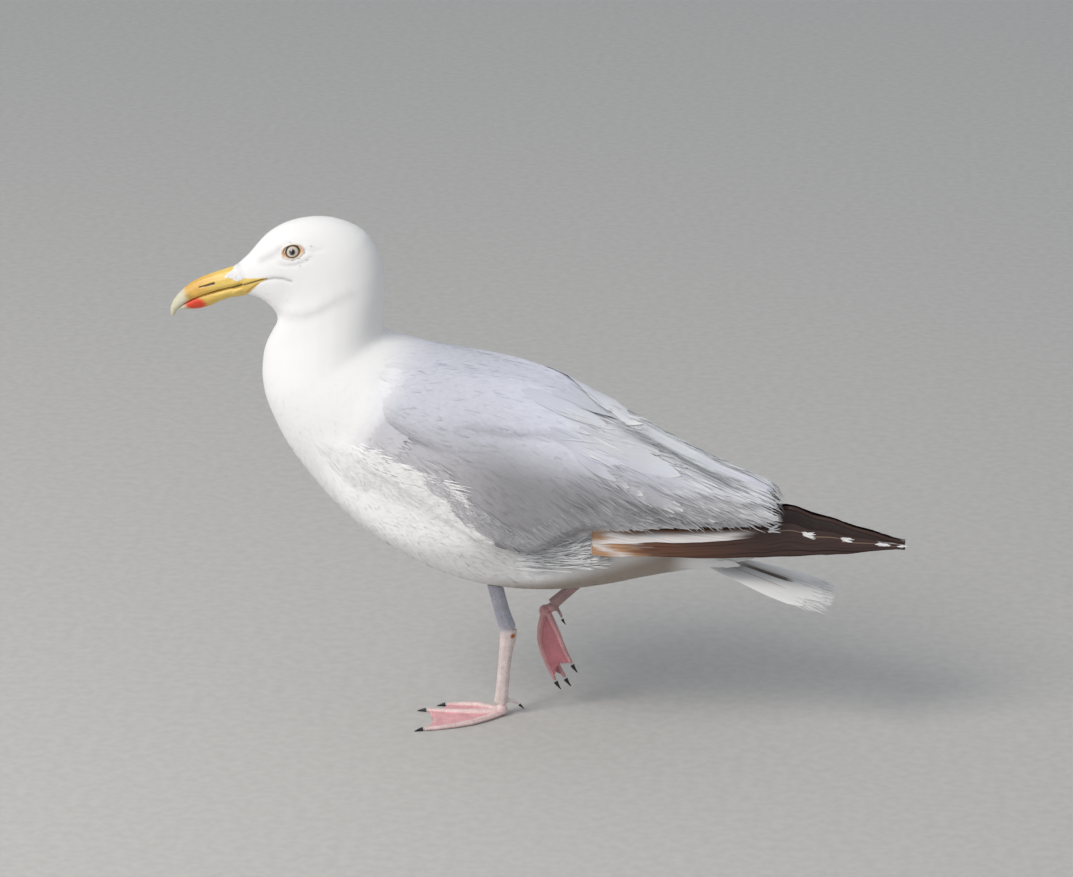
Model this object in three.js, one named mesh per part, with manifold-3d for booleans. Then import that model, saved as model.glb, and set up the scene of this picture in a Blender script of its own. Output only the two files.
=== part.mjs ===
import * as THREE from "three";
import { mergeVertices } from "three/addons/utils/BufferGeometryUtils.js";
import Module from "manifold-3d";

// An adult herring gull at life size, in mid-stride. It faces -X, its left side
// faces -Y, and it stands on the flat sole of its left foot at Z = 0, with the
// right foot lifted and hanging. Lengths are in millimetres.

const wasm = await Module();
wasm.setup();

// Clearances and smoothness
const GAP = 0.3;
const AROUND_BODY = 24;
const AROUND_BILL = 12;
const AROUND_LIMB = 8;

// Plumage and bare parts: colour and roughness
const WHITE_PLUMAGE = { color: "#f4f3f1", roughness: 0.85 };
const GREY_PLUMAGE = { color: "#b9b8bd", roughness: 0.8 };
const DARK_PLUMAGE = { color: "#46302a", roughness: 0.6 };
const BILL_HORN = { color: "#e2b64e", roughness: 0.4 };
const IRIS = { color: "#c9c0b4", roughness: 0.1 };
const LEG_SKIN = { color: "#c9a4a6", roughness: 0.5 };
const FOOT_SKIN = { color: "#d8a0a6", roughness: 0.55 };
const CLAW_HORN = { color: "#2b2524", roughness: 0.35 };

// Eye: a globe set in each side of the head
const EYE_RADIUS = 7.2;
const EYE_CENTRE = { x: -176.5, y: 13.9, z: 361 };

// Claws: length, radius at the root, and how far the tip bends out of line
const CLAW_LENGTH = 7;
const CLAW_RADIUS = 1.9;
const CLAW_BEND = 1.2;

// Toes: half width and half height at the joint, and the share lost at each bone
const TOE_HALF_WIDTH = 3.4;
const TOE_HALF_HEIGHT = 2.6;
const TOE_TAPER = 0.14;
const HIND_TOE_SIZE = 0.7;
const KNUCKLE_RADIUS = 4.9;

// Web between two toes: thickness, how far along the toes it ends, and how far
// its free edge is drawn in
const WEB_THICKNESS = 1.4;
const WEB_REACH = 0.97;
const WEB_DRAWN_IN = 0.5;

// Wing: thickness of the folded wing behind the trunk, and of one primary
const WING_THICKNESS = 9;
const PRIMARY_THICKNESS = 2.2;
const PRIMARY_LAYER_STEP = 1.1;

// Tail: twelve feathers fanned about their roots. A feather's outline gives the
// share of its length and of its half width; the outer ones are a little shorter
// and lie lower
const TAIL_FEATHERS = 12;
const TAIL_FEATHER_WIDTH = 22;
const TAIL_FEATHER_THICKNESS = 1.8;
const TAIL_FEATHER_OUTLINE = [[0, 0.45], [0.5, 0.8], [0.86, 1]];
const TAIL_LEFT_SHORTER = 0.07;
const TAIL_RIGHT_SHORTER = 0.02;
const TAIL_ARCH = 3;
const TAIL_FAN_DEGREES = 26;
const TAIL_ROOT = { x: 96, y: 5, z: 144 };
const TAIL_SLOPE_DEGREES = 17.4;
const TAIL_YAW_DEGREES = -5;
const TAIL_LENGTH = 128;

// A cross-section of the body lies in the plane of the Y axis and the line from
// its lower point to its upper point in the middle plane, both given as x, z.
// Then come half the width, how far up the line it is widest, and the fullness
// of its curve, where 2 is an ellipse.
function section(upperX, upperZ, lowerX, lowerZ, halfWidth, widest = 0.5, fullness = 2) {
  return {
    upper: new THREE.Vector3(upperX, 0, upperZ),
    lower: new THREE.Vector3(lowerX, 0, lowerZ),
    form: new THREE.Vector3(halfWidth, widest, fullness),
  };
}

// The body from the face, over the neck and breast, back to the tail
const BODY = [
  section(-222.5, 346.5, -213, 324.5, 8.6, 0.45, 2.2),
  section(-212, 356, -205, 323, 13, 0.45, 2.2),
  section(-199.5, 371, -198.5, 318.5, 17.6, 0.47, 2.2),
  section(-183, 381, -193.5, 313.5, 20.6, 0.48, 2.2),
  section(-161.5, 385.5, -191.5, 307, 22.4, 0.5, 2.2),
  section(-141.5, 383, -193.5, 301, 23.8, 0.5, 2.1),
  section(-124, 373.5, -198, 294, 25.4, 0.5, 2.1),
  section(-114, 356, -202, 285, 27.5, 0.5, 2.05),
  section(-111, 335.5, -204, 273.5, 30.5, 0.5, 2),
  section(-112.5, 315, -204, 260, 35, 0.5, 2),
  section(-112.5, 299, -201, 245.5, 40, 0.5, 2),
  section(-95, 294, -194.5, 229, 46, 0.5, 2),
  section(-70, 287.5, -185.5, 211.5, 51.5, 0.5, 2.1),
  section(-42, 281.5, -170.5, 190.5, 56, 0.5, 2.15),
  section(-14, 274, -150.5, 166.5, 59, 0.5, 2.2),
  section(14, 264, -124, 143, 60, 0.5, 2.2),
  section(40, 248.5, -92, 124, 58, 0.48, 2.2),
  section(63, 229.5, -56, 110, 53.5, 0.46, 2.15),
  section(84, 212, -18, 104.5, 47.5, 0.44, 2.1),
  section(104, 193.5, 20, 105, 41, 0.42, 2.1),
  section(122, 177, 54, 110, 34, 0.42, 2.1),
  section(138.5, 161.5, 84, 117, 27, 0.42, 2.1),
  section(152.5, 146, 114, 122.5, 20, 0.42, 2.1),
];
const HEAD_END = 6;
const NECK_END = 10;
const BREAST_END = 14;
const TRUNK_END = 18;
const BODY_END = BODY.length - 1;

// The outer surface of the folded wings and shoulder feathers together
const WING_SURFACE = [
  section(-99, 294.5, -200.5, 241, 47, 0.5, 2),
  section(-70, 290, -185.5, 209.5, 57, 0.5, 2.1),
  section(-42, 284.5, -168.5, 183.5, 63, 0.48, 2.15),
  section(-14, 279.5, -148.5, 158.5, 66.5, 0.46, 2.2),
  section(16, 270, -122, 135, 67.5, 0.44, 2.2),
  section(44, 255, -90, 116, 67, 0.42, 2.15),
  section(70, 241, -54, 103, 64.5, 0.4, 2.05),
  section(94, 228, -12, 98, 60.5, 0.4, 1.95),
  section(117, 215.5, 32, 99.5, 55, 0.4, 1.85),
  section(140.5, 204, 74, 105.5, 48, 0.4, 1.8),
  section(163.5, 194, 112, 111.5, 40.5, 0.42, 1.75),
  section(184.5, 184.5, 146.5, 118.5, 33, 0.44, 1.7),
  section(202.5, 176, 176.5, 125.5, 26, 0.46, 1.7),
];
const WING_HOLLOW_START = 4;
const WING_END = WING_SURFACE.length - 1;

// Side outline of the folded arm with its coverts, scapulars and tertials, x and z
const ARM_OUTLINE = [
  [-129, 221], [-120, 239], [-109, 257.5], [-99, 284.5], [-88, 330], [168, 338.5], [169, 196.5],
  [177, 185.5], [182, 172.5], [181, 166.5], [174, 161], [163, 163.5], [68, 163.5], [50, 169], [32, 163.5],
  [17, 154.5], [2, 148.5], [-18, 149], [-32, 154], [-46, 162], [-62, 171.5], [-80, 187],
  [-101, 200.5], [-119, 209],
];

const ARM_MIDDLE = { x: 30, z: 220 };

// Top outline of the grey mantle left open between the two wings, x and half width
const MANTLE_OUTLINE = [
  [-140, 42], [-95, 36], [-50, 27], [-5, 19], [35, 14], [80, 12], [140, 11], [210, 7],
];

// Lower edge of the folded primaries, from the coverts to the wing tip, x y z
const PRIMARY_EDGE = [
  [42, -58, 149.5], [80, -55, 146], [140, -42.5, 143.5], [196, -30, 142], [240, -18.5, 143.5],
  [276, -9, 146],
];

// The five longest primaries, the shortest on top: where each tip lies, and the
// height of its middle line above the lower edge at the root and at the tip
const PRIMARIES = [
  { tip: 175, rootHeight: 22, tipHeight: 24, halfWidth: 9 },
  { tip: 202, rootHeight: 19, tipHeight: 20, halfWidth: 11 },
  { tip: 232, rootHeight: 15, tipHeight: 10, halfWidth: 11 },
  { tip: 260, rootHeight: 11, tipHeight: 4.8, halfWidth: 9 },
  { tip: 277, rootHeight: 7, tipHeight: 1.6, halfWidth: 7 },
];
const PRIMARY_STOPS = [0, 0.35, 0.65, 0.84, 0.94, 0.98, 0.995];
const PRIMARY_SECTION = [[1, 0], [0.4, 1], [-0.4, 1], [-1, 0], [-0.4, -1], [0.4, -1]];
const PRIMARY_LEAN_DEGREES = 48;
const PRIMARY_TIP_TAPER = 62;
const PRIMARY_TIP_ROUND = 15;

// The right wing's primaries arch higher in the middle than the left wing's
const RIGHT_PRIMARY_LIFT = 6;
const LONGEST_TIP = PRIMARIES.at(-1).tip;

// Upper bill with its hooked tip, and lower bill with its gonys angle
const UPPER_BILL = [
  section(-222.9, 346.2, -216.2, 334, 8.2, 0.2, 2.1),
  section(-231, 343.5, -224, 331.5, 7.6, 0.2, 2.1),
  section(-242, 339.5, -236, 328, 6.5, 0.22, 2.1),
  section(-253, 334.5, -247.5, 323.5, 5.6, 0.24, 2.1),
  section(-262.5, 327, -257, 319, 4.7, 0.28, 2.1),
  section(-269, 319.5, -263.5, 314.5, 3.5, 0.35, 2),
  section(-272, 311.5, -267, 310.5, 2.2, 0.45, 2),
  section(-271, 306, -269, 306.5, 0.8, 0.5, 2),
];
const LOWER_BILL = [
  section(-216.5, 333.5, -213.5, 325, 7, 0.65, 2.1),
  section(-224, 331, -223, 322, 6.4, 0.65, 2.1),
  section(-236, 327, -234.5, 318, 5.2, 0.65, 2.1),
  section(-247.5, 323, -247, 312, 4.3, 0.65, 2.1),
  section(-254, 319.5, -254, 310.5, 3.8, 0.62, 2.1),
  section(-260, 316, -260.5, 310, 3, 0.6, 2.1),
  section(-265, 312, -265, 309.5, 1.6, 0.55, 2),
];

// Floor under the standing foot, which is set in below the body's middle so that
// the gull balances on it
const FLOOR = -3;

// Legs: middle line x y z, then half the depth fore and aft and half the width
const LEFT_SHANK = [
  [-35, -18, 128, 6.6, 5.4], [-29.48, -10.35, 103.45, 6.1, 5], [-25.56, -3.7, 82.9, 6.2, 4.6],
  [-21.8, 2, 67.5, 6.8, 5],
];
const LEFT_TARSUS = [
  [-21.4, 2.2, 67, 7, 5.2], [-21.7, 2.4, 60, 6.8, 4.9], [-23.2, 2.7, 50, 5.6, 3.9],
  [-24.8, 3.2, 35, 5.2, 3.5], [-26.4, 3.7, 16, 5.3, 3.5], [-27.6, 4, 6.5, 5.6, 4],
];
const RIGHT_TARSUS = [
  [49, 23, 119, 6, 4.6], [38, 22, 106.5, 5, 3.6], [24.5, 20.7, 94, 4.4, 3.4],
  [10.5, 19.3, 81.5, 5, 3.6],
];

// Toes: middle line x y z; the left foot stands flat, the right foot hangs
const LEFT_FOOT = {
  joint: [-26.8, 2.5, 1.8],
  toes: {
    inner: [[-27.8, 5.5, -0.6], [-42.8, 15.5, -0.4], [-57.8, 18.5, -1.2], [-69.8, 17.5, -1.6]],
    middle: [[-27.8, 3.5, -0.6], [-46.8, 2.5, -0.9], [-66.8, 3, -1.3], [-83.3, 4.5, -1.6]],
    outer: [[-27.8, 1, -0.6], [-43.8, -17, -0.9], [-62.8, -28, -1.3], [-81.3, -34.5, -1.6]],
  },
  hind: [[-23.8, 4.2, 9], [-19.8, 5.4, 8], [-16.4, 6.4, 6.4], [-14.4, 7, 4.8]],
};
const RIGHT_FOOT = {
  joint: [4.8, 18.6, 76.3],
  toes: {
    inner: [[7.5, 16.8, 75], [14.4, 13.2, 62], [20, 11.5, 48.5], [25.5, 11.5, 37]],
    middle: [[3.6, 18.4, 74], [0.4, 17.8, 57], [4.2, 17.8, 39], [12.5, 18.4, 20.5]],
    outer: [[5.5, 20.5, 74], [5.4, 23.2, 56], [11, 23.8, 38], [19.5, 22.8, 21.5]],
  },
  hind: [[12, 19, 80.5], [14.6, 18.6, 77.2], [16.6, 18.2, 73.8], [17.6, 18, 71]],
};

// A closed body through rings of equally many points, with a fan at each end
function loft(rings) {
  const count = rings[0].length;
  const middle = (ring) => ring.reduce((sum, p) => sum.add(p), new THREE.Vector3()).divideScalar(count);
  const points = [...rings.flat(), middle(rings[0]), middle(rings.at(-1))];
  const lastRing = (rings.length - 1) * count;
  const faces = [];
  for (let i = 0; i < count; i += 1) {
    const next = (i + 1) % count;
    for (let row = 0; row < lastRing; row += count) {
      faces.push([row + i, row + next, row + count + next], [row + i, row + count + next, row + count + i]);
    }
    faces.push([points.length - 2, next, i], [points.length - 1, lastRing + i, lastRing + next]);
  }
  const volume = faces.reduce((sum, [a, b, c]) => {
    return sum + points[a].dot(points[b].clone().cross(points[c]));
  }, 0);
  const outward = volume > 0 ? faces : faces.map(([a, b, c]) => [a, c, b]);
  const geometry = new THREE.BufferGeometry().setFromPoints(points);
  geometry.setIndex(outward.flat());
  return geometry;
}

// A mesh as a solid that can be joined and cut
function toSolid(geometry) {
  const bare = geometry.clone();
  bare.deleteAttribute("normal");
  bare.deleteAttribute("uv");
  const merged = mergeVertices(bare, 1e-4);
  return new wasm.Manifold(new wasm.Mesh({
    numProp: 3,
    vertProperties: new Float32Array(merged.attributes.position.array),
    triVerts: new Uint32Array(merged.index.array),
  }));
}

// A solid as a mesh again
function toGeometry(solid) {
  const { vertProperties, triVerts } = solid.getMesh();
  const geometry = new THREE.BufferGeometry();
  geometry.setAttribute("position", new THREE.BufferAttribute(vertProperties, 3));
  geometry.setIndex(new THREE.BufferAttribute(triVerts, 1));
  geometry.computeVertexNormals();
  return geometry;
}

// The largest body of a solid, without the splinters that a cut leaves
function mainBody(solid) {
  return solid.decompose().reduce((best, body) => (body.volume() > best.volume() ? body : best));
}

function joined(solids) {
  return solids.reduce((whole, solid) => whole.add(solid));
}

// Reads a list of sections as smooth curves, at a place counted in sections
function sectionAt(sections, place) {
  const share = place / (sections.length - 1);
  const read = (field) => new THREE.CatmullRomCurve3(sections.map((entry) => entry[field])).getPoint(share);
  return { upper: read("upper"), lower: read("lower"), form: read("form") };
}

// The ring of points of one section, swollen by grow on every side
function sectionRing({ upper, lower, form }, around, grow) {
  const up = upper.clone().sub(lower).normalize();
  const reach = upper.distanceTo(lower) + 2 * grow;
  const foot = lower.clone().addScaledVector(up, -grow);
  const lift = Math.log(form.y) / Math.log(0.5);
  return Array.from({ length: around }, (_, i) => {
    const turn = (2 * Math.PI * i) / around;
    const level = ((1 + Math.cos(turn)) / 2) ** lift;
    const across = Math.sign(Math.sin(turn)) * Math.abs(Math.sin(turn)) ** (2 / form.z);
    const point = foot.clone().addScaledVector(up, reach * level);
    point.y = (form.x + grow) * across;
    return point;
  });
}

// The body between two places of a list of sections
function sectionLoft(sections, from, to, options = {}) {
  const { around = AROUND_BODY, fineness = 1.5, grow = 0, startGap = 0 } = options;
  const steps = Math.round((to - from) * fineness);
  const rings = Array.from({ length: steps + 1 }, (_, i) => {
    return sectionRing(sectionAt(sections, from + ((to - from) * i) / steps), around, grow);
  });
  const { upper, lower } = sectionAt(sections, from);
  const along = upper.clone().sub(lower).cross(new THREE.Vector3(0, 1, 0)).normalize();
  const ahead = rings[1][0].clone().add(rings[1][around / 2]).sub(upper).sub(lower);
  along.multiplyScalar(startGap * Math.sign(along.dot(ahead)));
  rings[0].forEach((point) => point.add(along));
  return toSolid(loft(rings));
}

// A limb along points x y z with half depth and half width at each
function limb(nodes, { around = AROUND_LIMB, steps = nodes.length * 2 } = {}) {
  const path = new THREE.CatmullRomCurve3(nodes.map(([x, y, z]) => new THREE.Vector3(x, y, z)));
  const sizes = nodes.map((node) => new THREE.Vector3(node[3], node[4], 0));
  const girth = new THREE.CatmullRomCurve3(sizes);
  const rings = Array.from({ length: steps + 1 }, (_, step) => {
    const centre = path.getPoint(step / steps);
    const along = path.getTangent(step / steps);
    const fore = along.clone().cross(new THREE.Vector3(0, 1, 0)).normalize();
    const side = fore.clone().cross(along).normalize();
    const size = girth.getPoint(step / steps);
    return Array.from({ length: around }, (_unused, i) => {
      const turn = (2 * Math.PI * (i + 0.5)) / around;
      return centre.clone()
        .addScaledVector(fore, size.x * Math.cos(turn))
        .addScaledVector(side, size.y * Math.sin(turn));
    });
  });
  return toSolid(loft(rings));
}

// A flat shape of x, y points, filled from z = bottom up by depth
function extruded(points, bottom, depth) {
  const shape = new THREE.Shape(points.map(([x, y]) => new THREE.Vector2(x, y)));
  const geometry = new THREE.ExtrudeGeometry(shape, { depth, bevelEnabled: false });
  return geometry.translate(0, 0, bottom);
}

// Everything below the floor
function underFloor() {
  const block = { side: 400, depth: 40 };
  const geometry = new THREE.BoxGeometry(block.side, block.side, block.depth);
  return toSolid(geometry.translate(0, 0, FLOOR - block.depth / 2));
}

function globe(radius, side) {
  const geometry = new THREE.SphereGeometry(radius, 14, 8);
  return toSolid(geometry.translate(EYE_CENTRE.x, side * EYE_CENTRE.y, EYE_CENTRE.z));
}

const bird = new THREE.Group();

function addMesh(name, solid, finish) {
  const material = new THREE.MeshStandardMaterial({ ...finish, metalness: 0 });
  const mesh = new THREE.Mesh(toGeometry(solid), material);
  mesh.name = name;
  bird.add(mesh);
}

// Head, neck, breast, trunk and rump: one smooth body parted by thin cuts
function addBody() {
  const sockets = joined([globe(EYE_RADIUS + GAP, -1), globe(EYE_RADIUS + GAP, 1)]);
  const head = sectionLoft(BODY, 0, HEAD_END, { fineness: 2 }).subtract(sockets);
  addMesh("head", head, WHITE_PLUMAGE);
  addMesh("neck", sectionLoft(BODY, HEAD_END, NECK_END, { startGap: GAP }), WHITE_PLUMAGE);
  addMesh("breast", sectionLoft(BODY, NECK_END, BREAST_END, { startGap: GAP }), WHITE_PLUMAGE);
  addMesh("trunk", sectionLoft(BODY, BREAST_END, TRUNK_END, { startGap: GAP }), WHITE_PLUMAGE);
  addMesh("rump", sectionLoft(BODY, TRUNK_END, BODY_END, { startGap: GAP }), WHITE_PLUMAGE);
}

// The body swollen by the clearance, to cut what lies against it
function bodyCutter() {
  return sectionLoft(BODY, HEAD_END, BODY_END, { grow: GAP });
}

// Everything over the side outline of the arm, swollen by grow, on one side
function armPrism(side, grow) {
  const outline = ARM_OUTLINE.map(([x, z]) => {
    return [x + grow * Math.sign(x - ARM_MIDDLE.x), z + grow * Math.sign(z - ARM_MIDDLE.z)];
  });
  const depth = 100;
  const geometry = extruded(outline, 0, depth).rotateX(Math.PI / 2);
  return toSolid(side < 0 ? geometry : geometry.translate(0, depth, 0));
}

// The folded arm with its coverts, scapulars and tertials, lying on the trunk
function addWing(name, side, body) {
  const surface = sectionLoft(WING_SURFACE, 0, WING_END, { fineness: 2 });
  const hollow = { fineness: 1, grow: -WING_THICKNESS };
  const inside = sectionLoft(WING_SURFACE, WING_HOLLOW_START, WING_END, hollow);
  const far = [...MANTLE_OUTLINE].reverse().map(([x, halfWidth]) => [x, -halfWidth]);
  const mantle = toSolid(extruded([...MANTLE_OUTLINE, ...far].reverse(), 0, 400));
  const wing = surface.intersect(armPrism(side, 0)).subtract(mantle).subtract(body).subtract(inside);
  addMesh(name, mainBody(wing), GREY_PLUMAGE);
}

// One primary: a thin lens-shaped blade that narrows to a round tip
function primaryBlade(side, { tip, rootHeight, tipHeight, halfWidth }, layer) {
  const edge = new THREE.CatmullRomCurve3(PRIMARY_EDGE.map(([x, y, z]) => new THREE.Vector3(x, y, z)));
  const lean = THREE.MathUtils.degToRad(PRIMARY_LEAN_DEGREES);
  const across = new THREE.Vector3(0, Math.cos(lean), Math.sin(lean));
  const out = new THREE.Vector3(0, -Math.sin(lean), Math.cos(lean));
  const root = PRIMARY_EDGE[0][0];
  const samples = Array.from({ length: 121 }, (_, i) => edge.getPoint(i / 120));
  const edgeAt = (x) => {
    const beyond = Math.max(1, samples.findIndex((point) => point.x >= x));
    const [near, far] = [samples.at(beyond - 1), samples.at(beyond)];
    return near.clone().lerp(far, (x - near.x) / (far.x - near.x));
  };
  const rings = PRIMARY_STOPS.map((stop) => {
    const x = root + (tip - root) * stop;
    const taper = THREE.MathUtils.smoothstep(x, tip - PRIMARY_TIP_TAPER, tip);
    const height = THREE.MathUtils.lerp(rootHeight, tipHeight, taper);
    const rounding = Math.sqrt(1 - Math.max(0, (x - tip + PRIMARY_TIP_ROUND) / PRIMARY_TIP_ROUND) ** 2);
    const reach = Math.min(halfWidth, height + 0.4) * rounding;
    const depth = -layer * PRIMARY_LAYER_STEP;
    const centre = edgeAt(x).addScaledVector(across, height).addScaledVector(out, depth);
    const thick = (PRIMARY_THICKNESS / 2) * (0.45 + 0.55 * rounding);
    const arch = Math.sin((Math.PI * (x - root)) / (LONGEST_TIP - root));
    centre.z += side > 0 ? RIGHT_PRIMARY_LIFT * arch : 0;
    return PRIMARY_SECTION.map(([a, b]) => {
      const point = centre.clone().addScaledVector(across, a * reach).addScaledVector(out, b * thick);
      point.y *= -side;
      return point;
    });
  });
  return toSolid(loft(rings));
}

function addPrimaries(name, side, body) {
  const blades = PRIMARIES.map((blade, layer) => primaryBlade(side, blade, layer));
  const stack = joined(blades).subtract(armPrism(side, GAP)).subtract(body);
  addMesh(name, mainBody(stack), DARK_PLUMAGE);
}

// The tail: feathers in a flat fan, arched a little across
function addTail(body) {
  const half = TAIL_FEATHER_WIDTH / 2;
  const feathers = Array.from({ length: TAIL_FEATHERS }, (_, i) => {
    const spread = (2 * i) / (TAIL_FEATHERS - 1) - 1;
    const shorter = spread < 0 ? TAIL_LEFT_SHORTER * spread * spread : TAIL_RIGHT_SHORTER * spread;
    const length = TAIL_LENGTH * (1 - shorter);
    const outline = TAIL_FEATHER_OUTLINE.map(([along, across]) => [length * along, -half * across]);
    const tip = [-50, 0, 50].map((degrees) => {
      const turn = THREE.MathUtils.degToRad(degrees);
      return [length - half * 0.8 + half * 0.8 * Math.cos(turn), half * Math.sin(turn)];
    });
    const back = outline.map(([x, y]) => [x, -y]).reverse();
    const geometry = extruded([...outline, ...tip, ...back], 0, TAIL_FEATHER_THICKNESS);
    geometry.rotateZ(THREE.MathUtils.degToRad((TAIL_FAN_DEGREES / 2) * spread));
    geometry.translate(0, 0, -Math.abs(spread) * TAIL_ARCH);
    geometry.rotateY(THREE.MathUtils.degToRad(TAIL_SLOPE_DEGREES));
    geometry.rotateZ(THREE.MathUtils.degToRad(TAIL_YAW_DEGREES));
    return toSolid(geometry.translate(TAIL_ROOT.x, TAIL_ROOT.y, TAIL_ROOT.z));
  });
  addMesh("tail", mainBody(joined(feathers).subtract(body)), WHITE_PLUMAGE);
}

function addHeadDetails() {
  const face = sectionLoft(BODY, 0, 2, { fineness: 2, grow: GAP, startGap: -GAP });
  const shape = { around: AROUND_BILL, fineness: 1.5 };
  const upperBill = sectionLoft(UPPER_BILL, 0, UPPER_BILL.length - 1, shape);
  const lowerBill = sectionLoft(LOWER_BILL, 0, LOWER_BILL.length - 1, shape);
  addMesh("upper_bill", mainBody(upperBill.subtract(face)), BILL_HORN);
  addMesh("lower_bill", mainBody(lowerBill.subtract(face)), BILL_HORN);
  addMesh("eye_left", globe(EYE_RADIUS, -1), IRIS);
  addMesh("eye_right", globe(EYE_RADIUS, 1), IRIS);
}

// The skin between two toes, with its free edge drawn in; on a standing foot,
// where the skin is thick upwards, it lies on the floor
function web(first, second, thickness) {
  const curve = (line) => new THREE.CatmullRomCurve3(line.map(([x, y, z]) => new THREE.Vector3(x, y, z)));
  const [a, b] = [curve(first), curve(second)];
  const columns = [0, 0.25, 0.5, 0.75, 1];
  const rings = [0.05, 0.4, 0.75, 1].map((row) => {
    const line = columns.map((column) => {
      const reach = row * (WEB_REACH - WEB_DRAWN_IN * column * (1 - column));
      const point = a.getPoint(reach).lerp(b.getPoint(reach), column);
      return thickness.z > 0 ? point.setZ(FLOOR) : point;
    });
    const raised = line.map((point) => point.clone().add(thickness));
    return [...line, ...raised.reverse()];
  });
  return toSolid(loft(rings));
}

// A toe as a limb that thins from the joint to the root of its claw
function toe(points, size = 1, grow = 0) {
  const nodes = points.map(([x, y, z], i) => {
    const taper = size * (1 - TOE_TAPER * i);
    return [x, y, z, TOE_HALF_HEIGHT * taper + grow, TOE_HALF_WIDTH * taper + grow];
  });
  return limb(nodes, { steps: 5, around: 6 });
}

// A claw carries on from the end of its toe and hooks down
function claw(points, droop, size = 1) {
  const [before, end] = points.slice(-2).map(([x, y, z]) => new THREE.Vector3(x, y, z));
  const along = end.clone().sub(before).normalize();
  const nodes = [0.04, 0.4, 0.75, 1].map((share) => {
    const point = end.clone().addScaledVector(along, size * (1 + CLAW_LENGTH * share));
    point.add(droop.clone().multiplyScalar(share * share));
    const radius = size * CLAW_RADIUS * (1.05 - 0.85 * share);
    return [point.x, point.y, point.z, radius, radius * 0.8];
  });
  return limb(nodes, { steps: 3, around: 6 });
}

function swollen(nodes, grow) {
  return nodes.map(([x, y, z, depth, width]) => [x, y, z, depth + grow, width + grow]);
}

// The tarsus carries the small hind toe above the foot
function addTarsus(sideName, nodes, { hind }, droop, body) {
  const hindClaw = claw(hind, droop, HIND_TOE_SIZE);
  const tarsus = limb(nodes).add(toe(hind, HIND_TOE_SIZE)).subtract(hindClaw).subtract(body);
  addMesh(`tarsus_${sideName}`, mainBody(tarsus), LEG_SKIN);
  addMesh(`claw_${sideName}_hind`, hindClaw, CLAW_HORN);
}

// A foot: three toes with the skin between them, each toe with its claw
function addFoot(sideName, { joint, toes, hind }, webThickness, droop, tarsusNodes) {
  const knuckle = toSolid(new THREE.SphereGeometry(KNUCKLE_RADIUS, 10, 6).translate(...joint));
  const skins = [web(toes.inner, toes.middle, webThickness), web(toes.middle, toes.outer, webThickness)];
  const pads = Object.values(toes).map((points) => toe(points));
  const floor = underFloor();
  const claws = Object.entries(toes).map(([name, points]) => [name, claw(points, droop).subtract(floor)]);
  const neighbours = [limb(swollen(tarsusNodes, GAP)), toe(hind, HIND_TOE_SIZE, GAP), floor];
  const cutters = [...neighbours, ...claws.map(([, solid]) => solid)];
  const whole = joined([knuckle, ...pads, ...skins]);
  const foot = cutters.reduce((solid, cutter) => solid.subtract(cutter), whole);
  addMesh(`foot_${sideName}`, mainBody(foot), FOOT_SKIN);
  claws.forEach(([name, solid]) => addMesh(`claw_${sideName}_${name}`, solid, CLAW_HORN));
}

function addLegs(body) {
  const shank = limb(LEFT_SHANK).subtract(body).subtract(limb(swollen(LEFT_TARSUS, GAP)));
  addMesh("shank_left", mainBody(shank), LEG_SKIN);
  const down = new THREE.Vector3(0, 0, -CLAW_BEND);
  const back = new THREE.Vector3(CLAW_BEND, 0, 0);
  addTarsus("left", LEFT_TARSUS, LEFT_FOOT, down, body);
  addTarsus("right", RIGHT_TARSUS, RIGHT_FOOT, back, body);
  addFoot("left", LEFT_FOOT, new THREE.Vector3(0, 0, WEB_THICKNESS), down, LEFT_TARSUS);
  addFoot("right", RIGHT_FOOT, new THREE.Vector3(-WEB_THICKNESS, 0, 0), back, RIGHT_TARSUS);
}

const body = bodyCutter();
addBody();
addHeadDetails();
addWing("wing_left", -1, body);
addWing("wing_right", 1, body);
addPrimaries("primaries_left", -1, body);
addPrimaries("primaries_right", 1, body);
addTail(body);
addLegs(body);
// The origin is under the middle of the whole bird
const extent = new THREE.Box3().setFromObject(bird);
const centre = extent.getCenter(new THREE.Vector3());
bird.position.set(-centre.x, -centre.y, -extent.min.z);
const group = new THREE.Group();
group.add(bird);

export default group;
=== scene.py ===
import math

import bmesh
import bpy
import numpy as np
from mathutils import Matrix, Vector
from mathutils.bvhtree import BVHTree


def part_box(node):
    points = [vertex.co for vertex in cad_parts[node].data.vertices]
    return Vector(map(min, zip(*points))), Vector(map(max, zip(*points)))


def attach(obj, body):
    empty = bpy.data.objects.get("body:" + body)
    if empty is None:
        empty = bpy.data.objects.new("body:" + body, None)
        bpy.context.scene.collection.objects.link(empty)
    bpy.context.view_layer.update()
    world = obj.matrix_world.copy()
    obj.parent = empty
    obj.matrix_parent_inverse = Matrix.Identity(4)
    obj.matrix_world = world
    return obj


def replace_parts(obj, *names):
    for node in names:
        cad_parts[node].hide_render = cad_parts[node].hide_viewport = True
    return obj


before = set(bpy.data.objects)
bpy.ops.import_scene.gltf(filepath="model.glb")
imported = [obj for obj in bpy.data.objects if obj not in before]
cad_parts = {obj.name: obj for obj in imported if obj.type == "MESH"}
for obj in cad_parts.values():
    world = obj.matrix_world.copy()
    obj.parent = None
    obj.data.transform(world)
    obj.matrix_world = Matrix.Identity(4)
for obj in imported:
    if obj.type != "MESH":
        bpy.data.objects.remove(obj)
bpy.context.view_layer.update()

# ---------------------------------------------------------------------------
# Studio
# The gull stands on a plain pale matt floor. One large lamp high on its left
# is the main light, a wide weak one fills from the front, and the room is an
# even pale grey. The lens is long, as it is for a shy bird.
# ---------------------------------------------------------------------------
MM = 0.001
VIEW_TARGET = Vector((-0.002, 0.0, 0.2215))
VIEW_AZIMUTH = math.radians(5)
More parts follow.
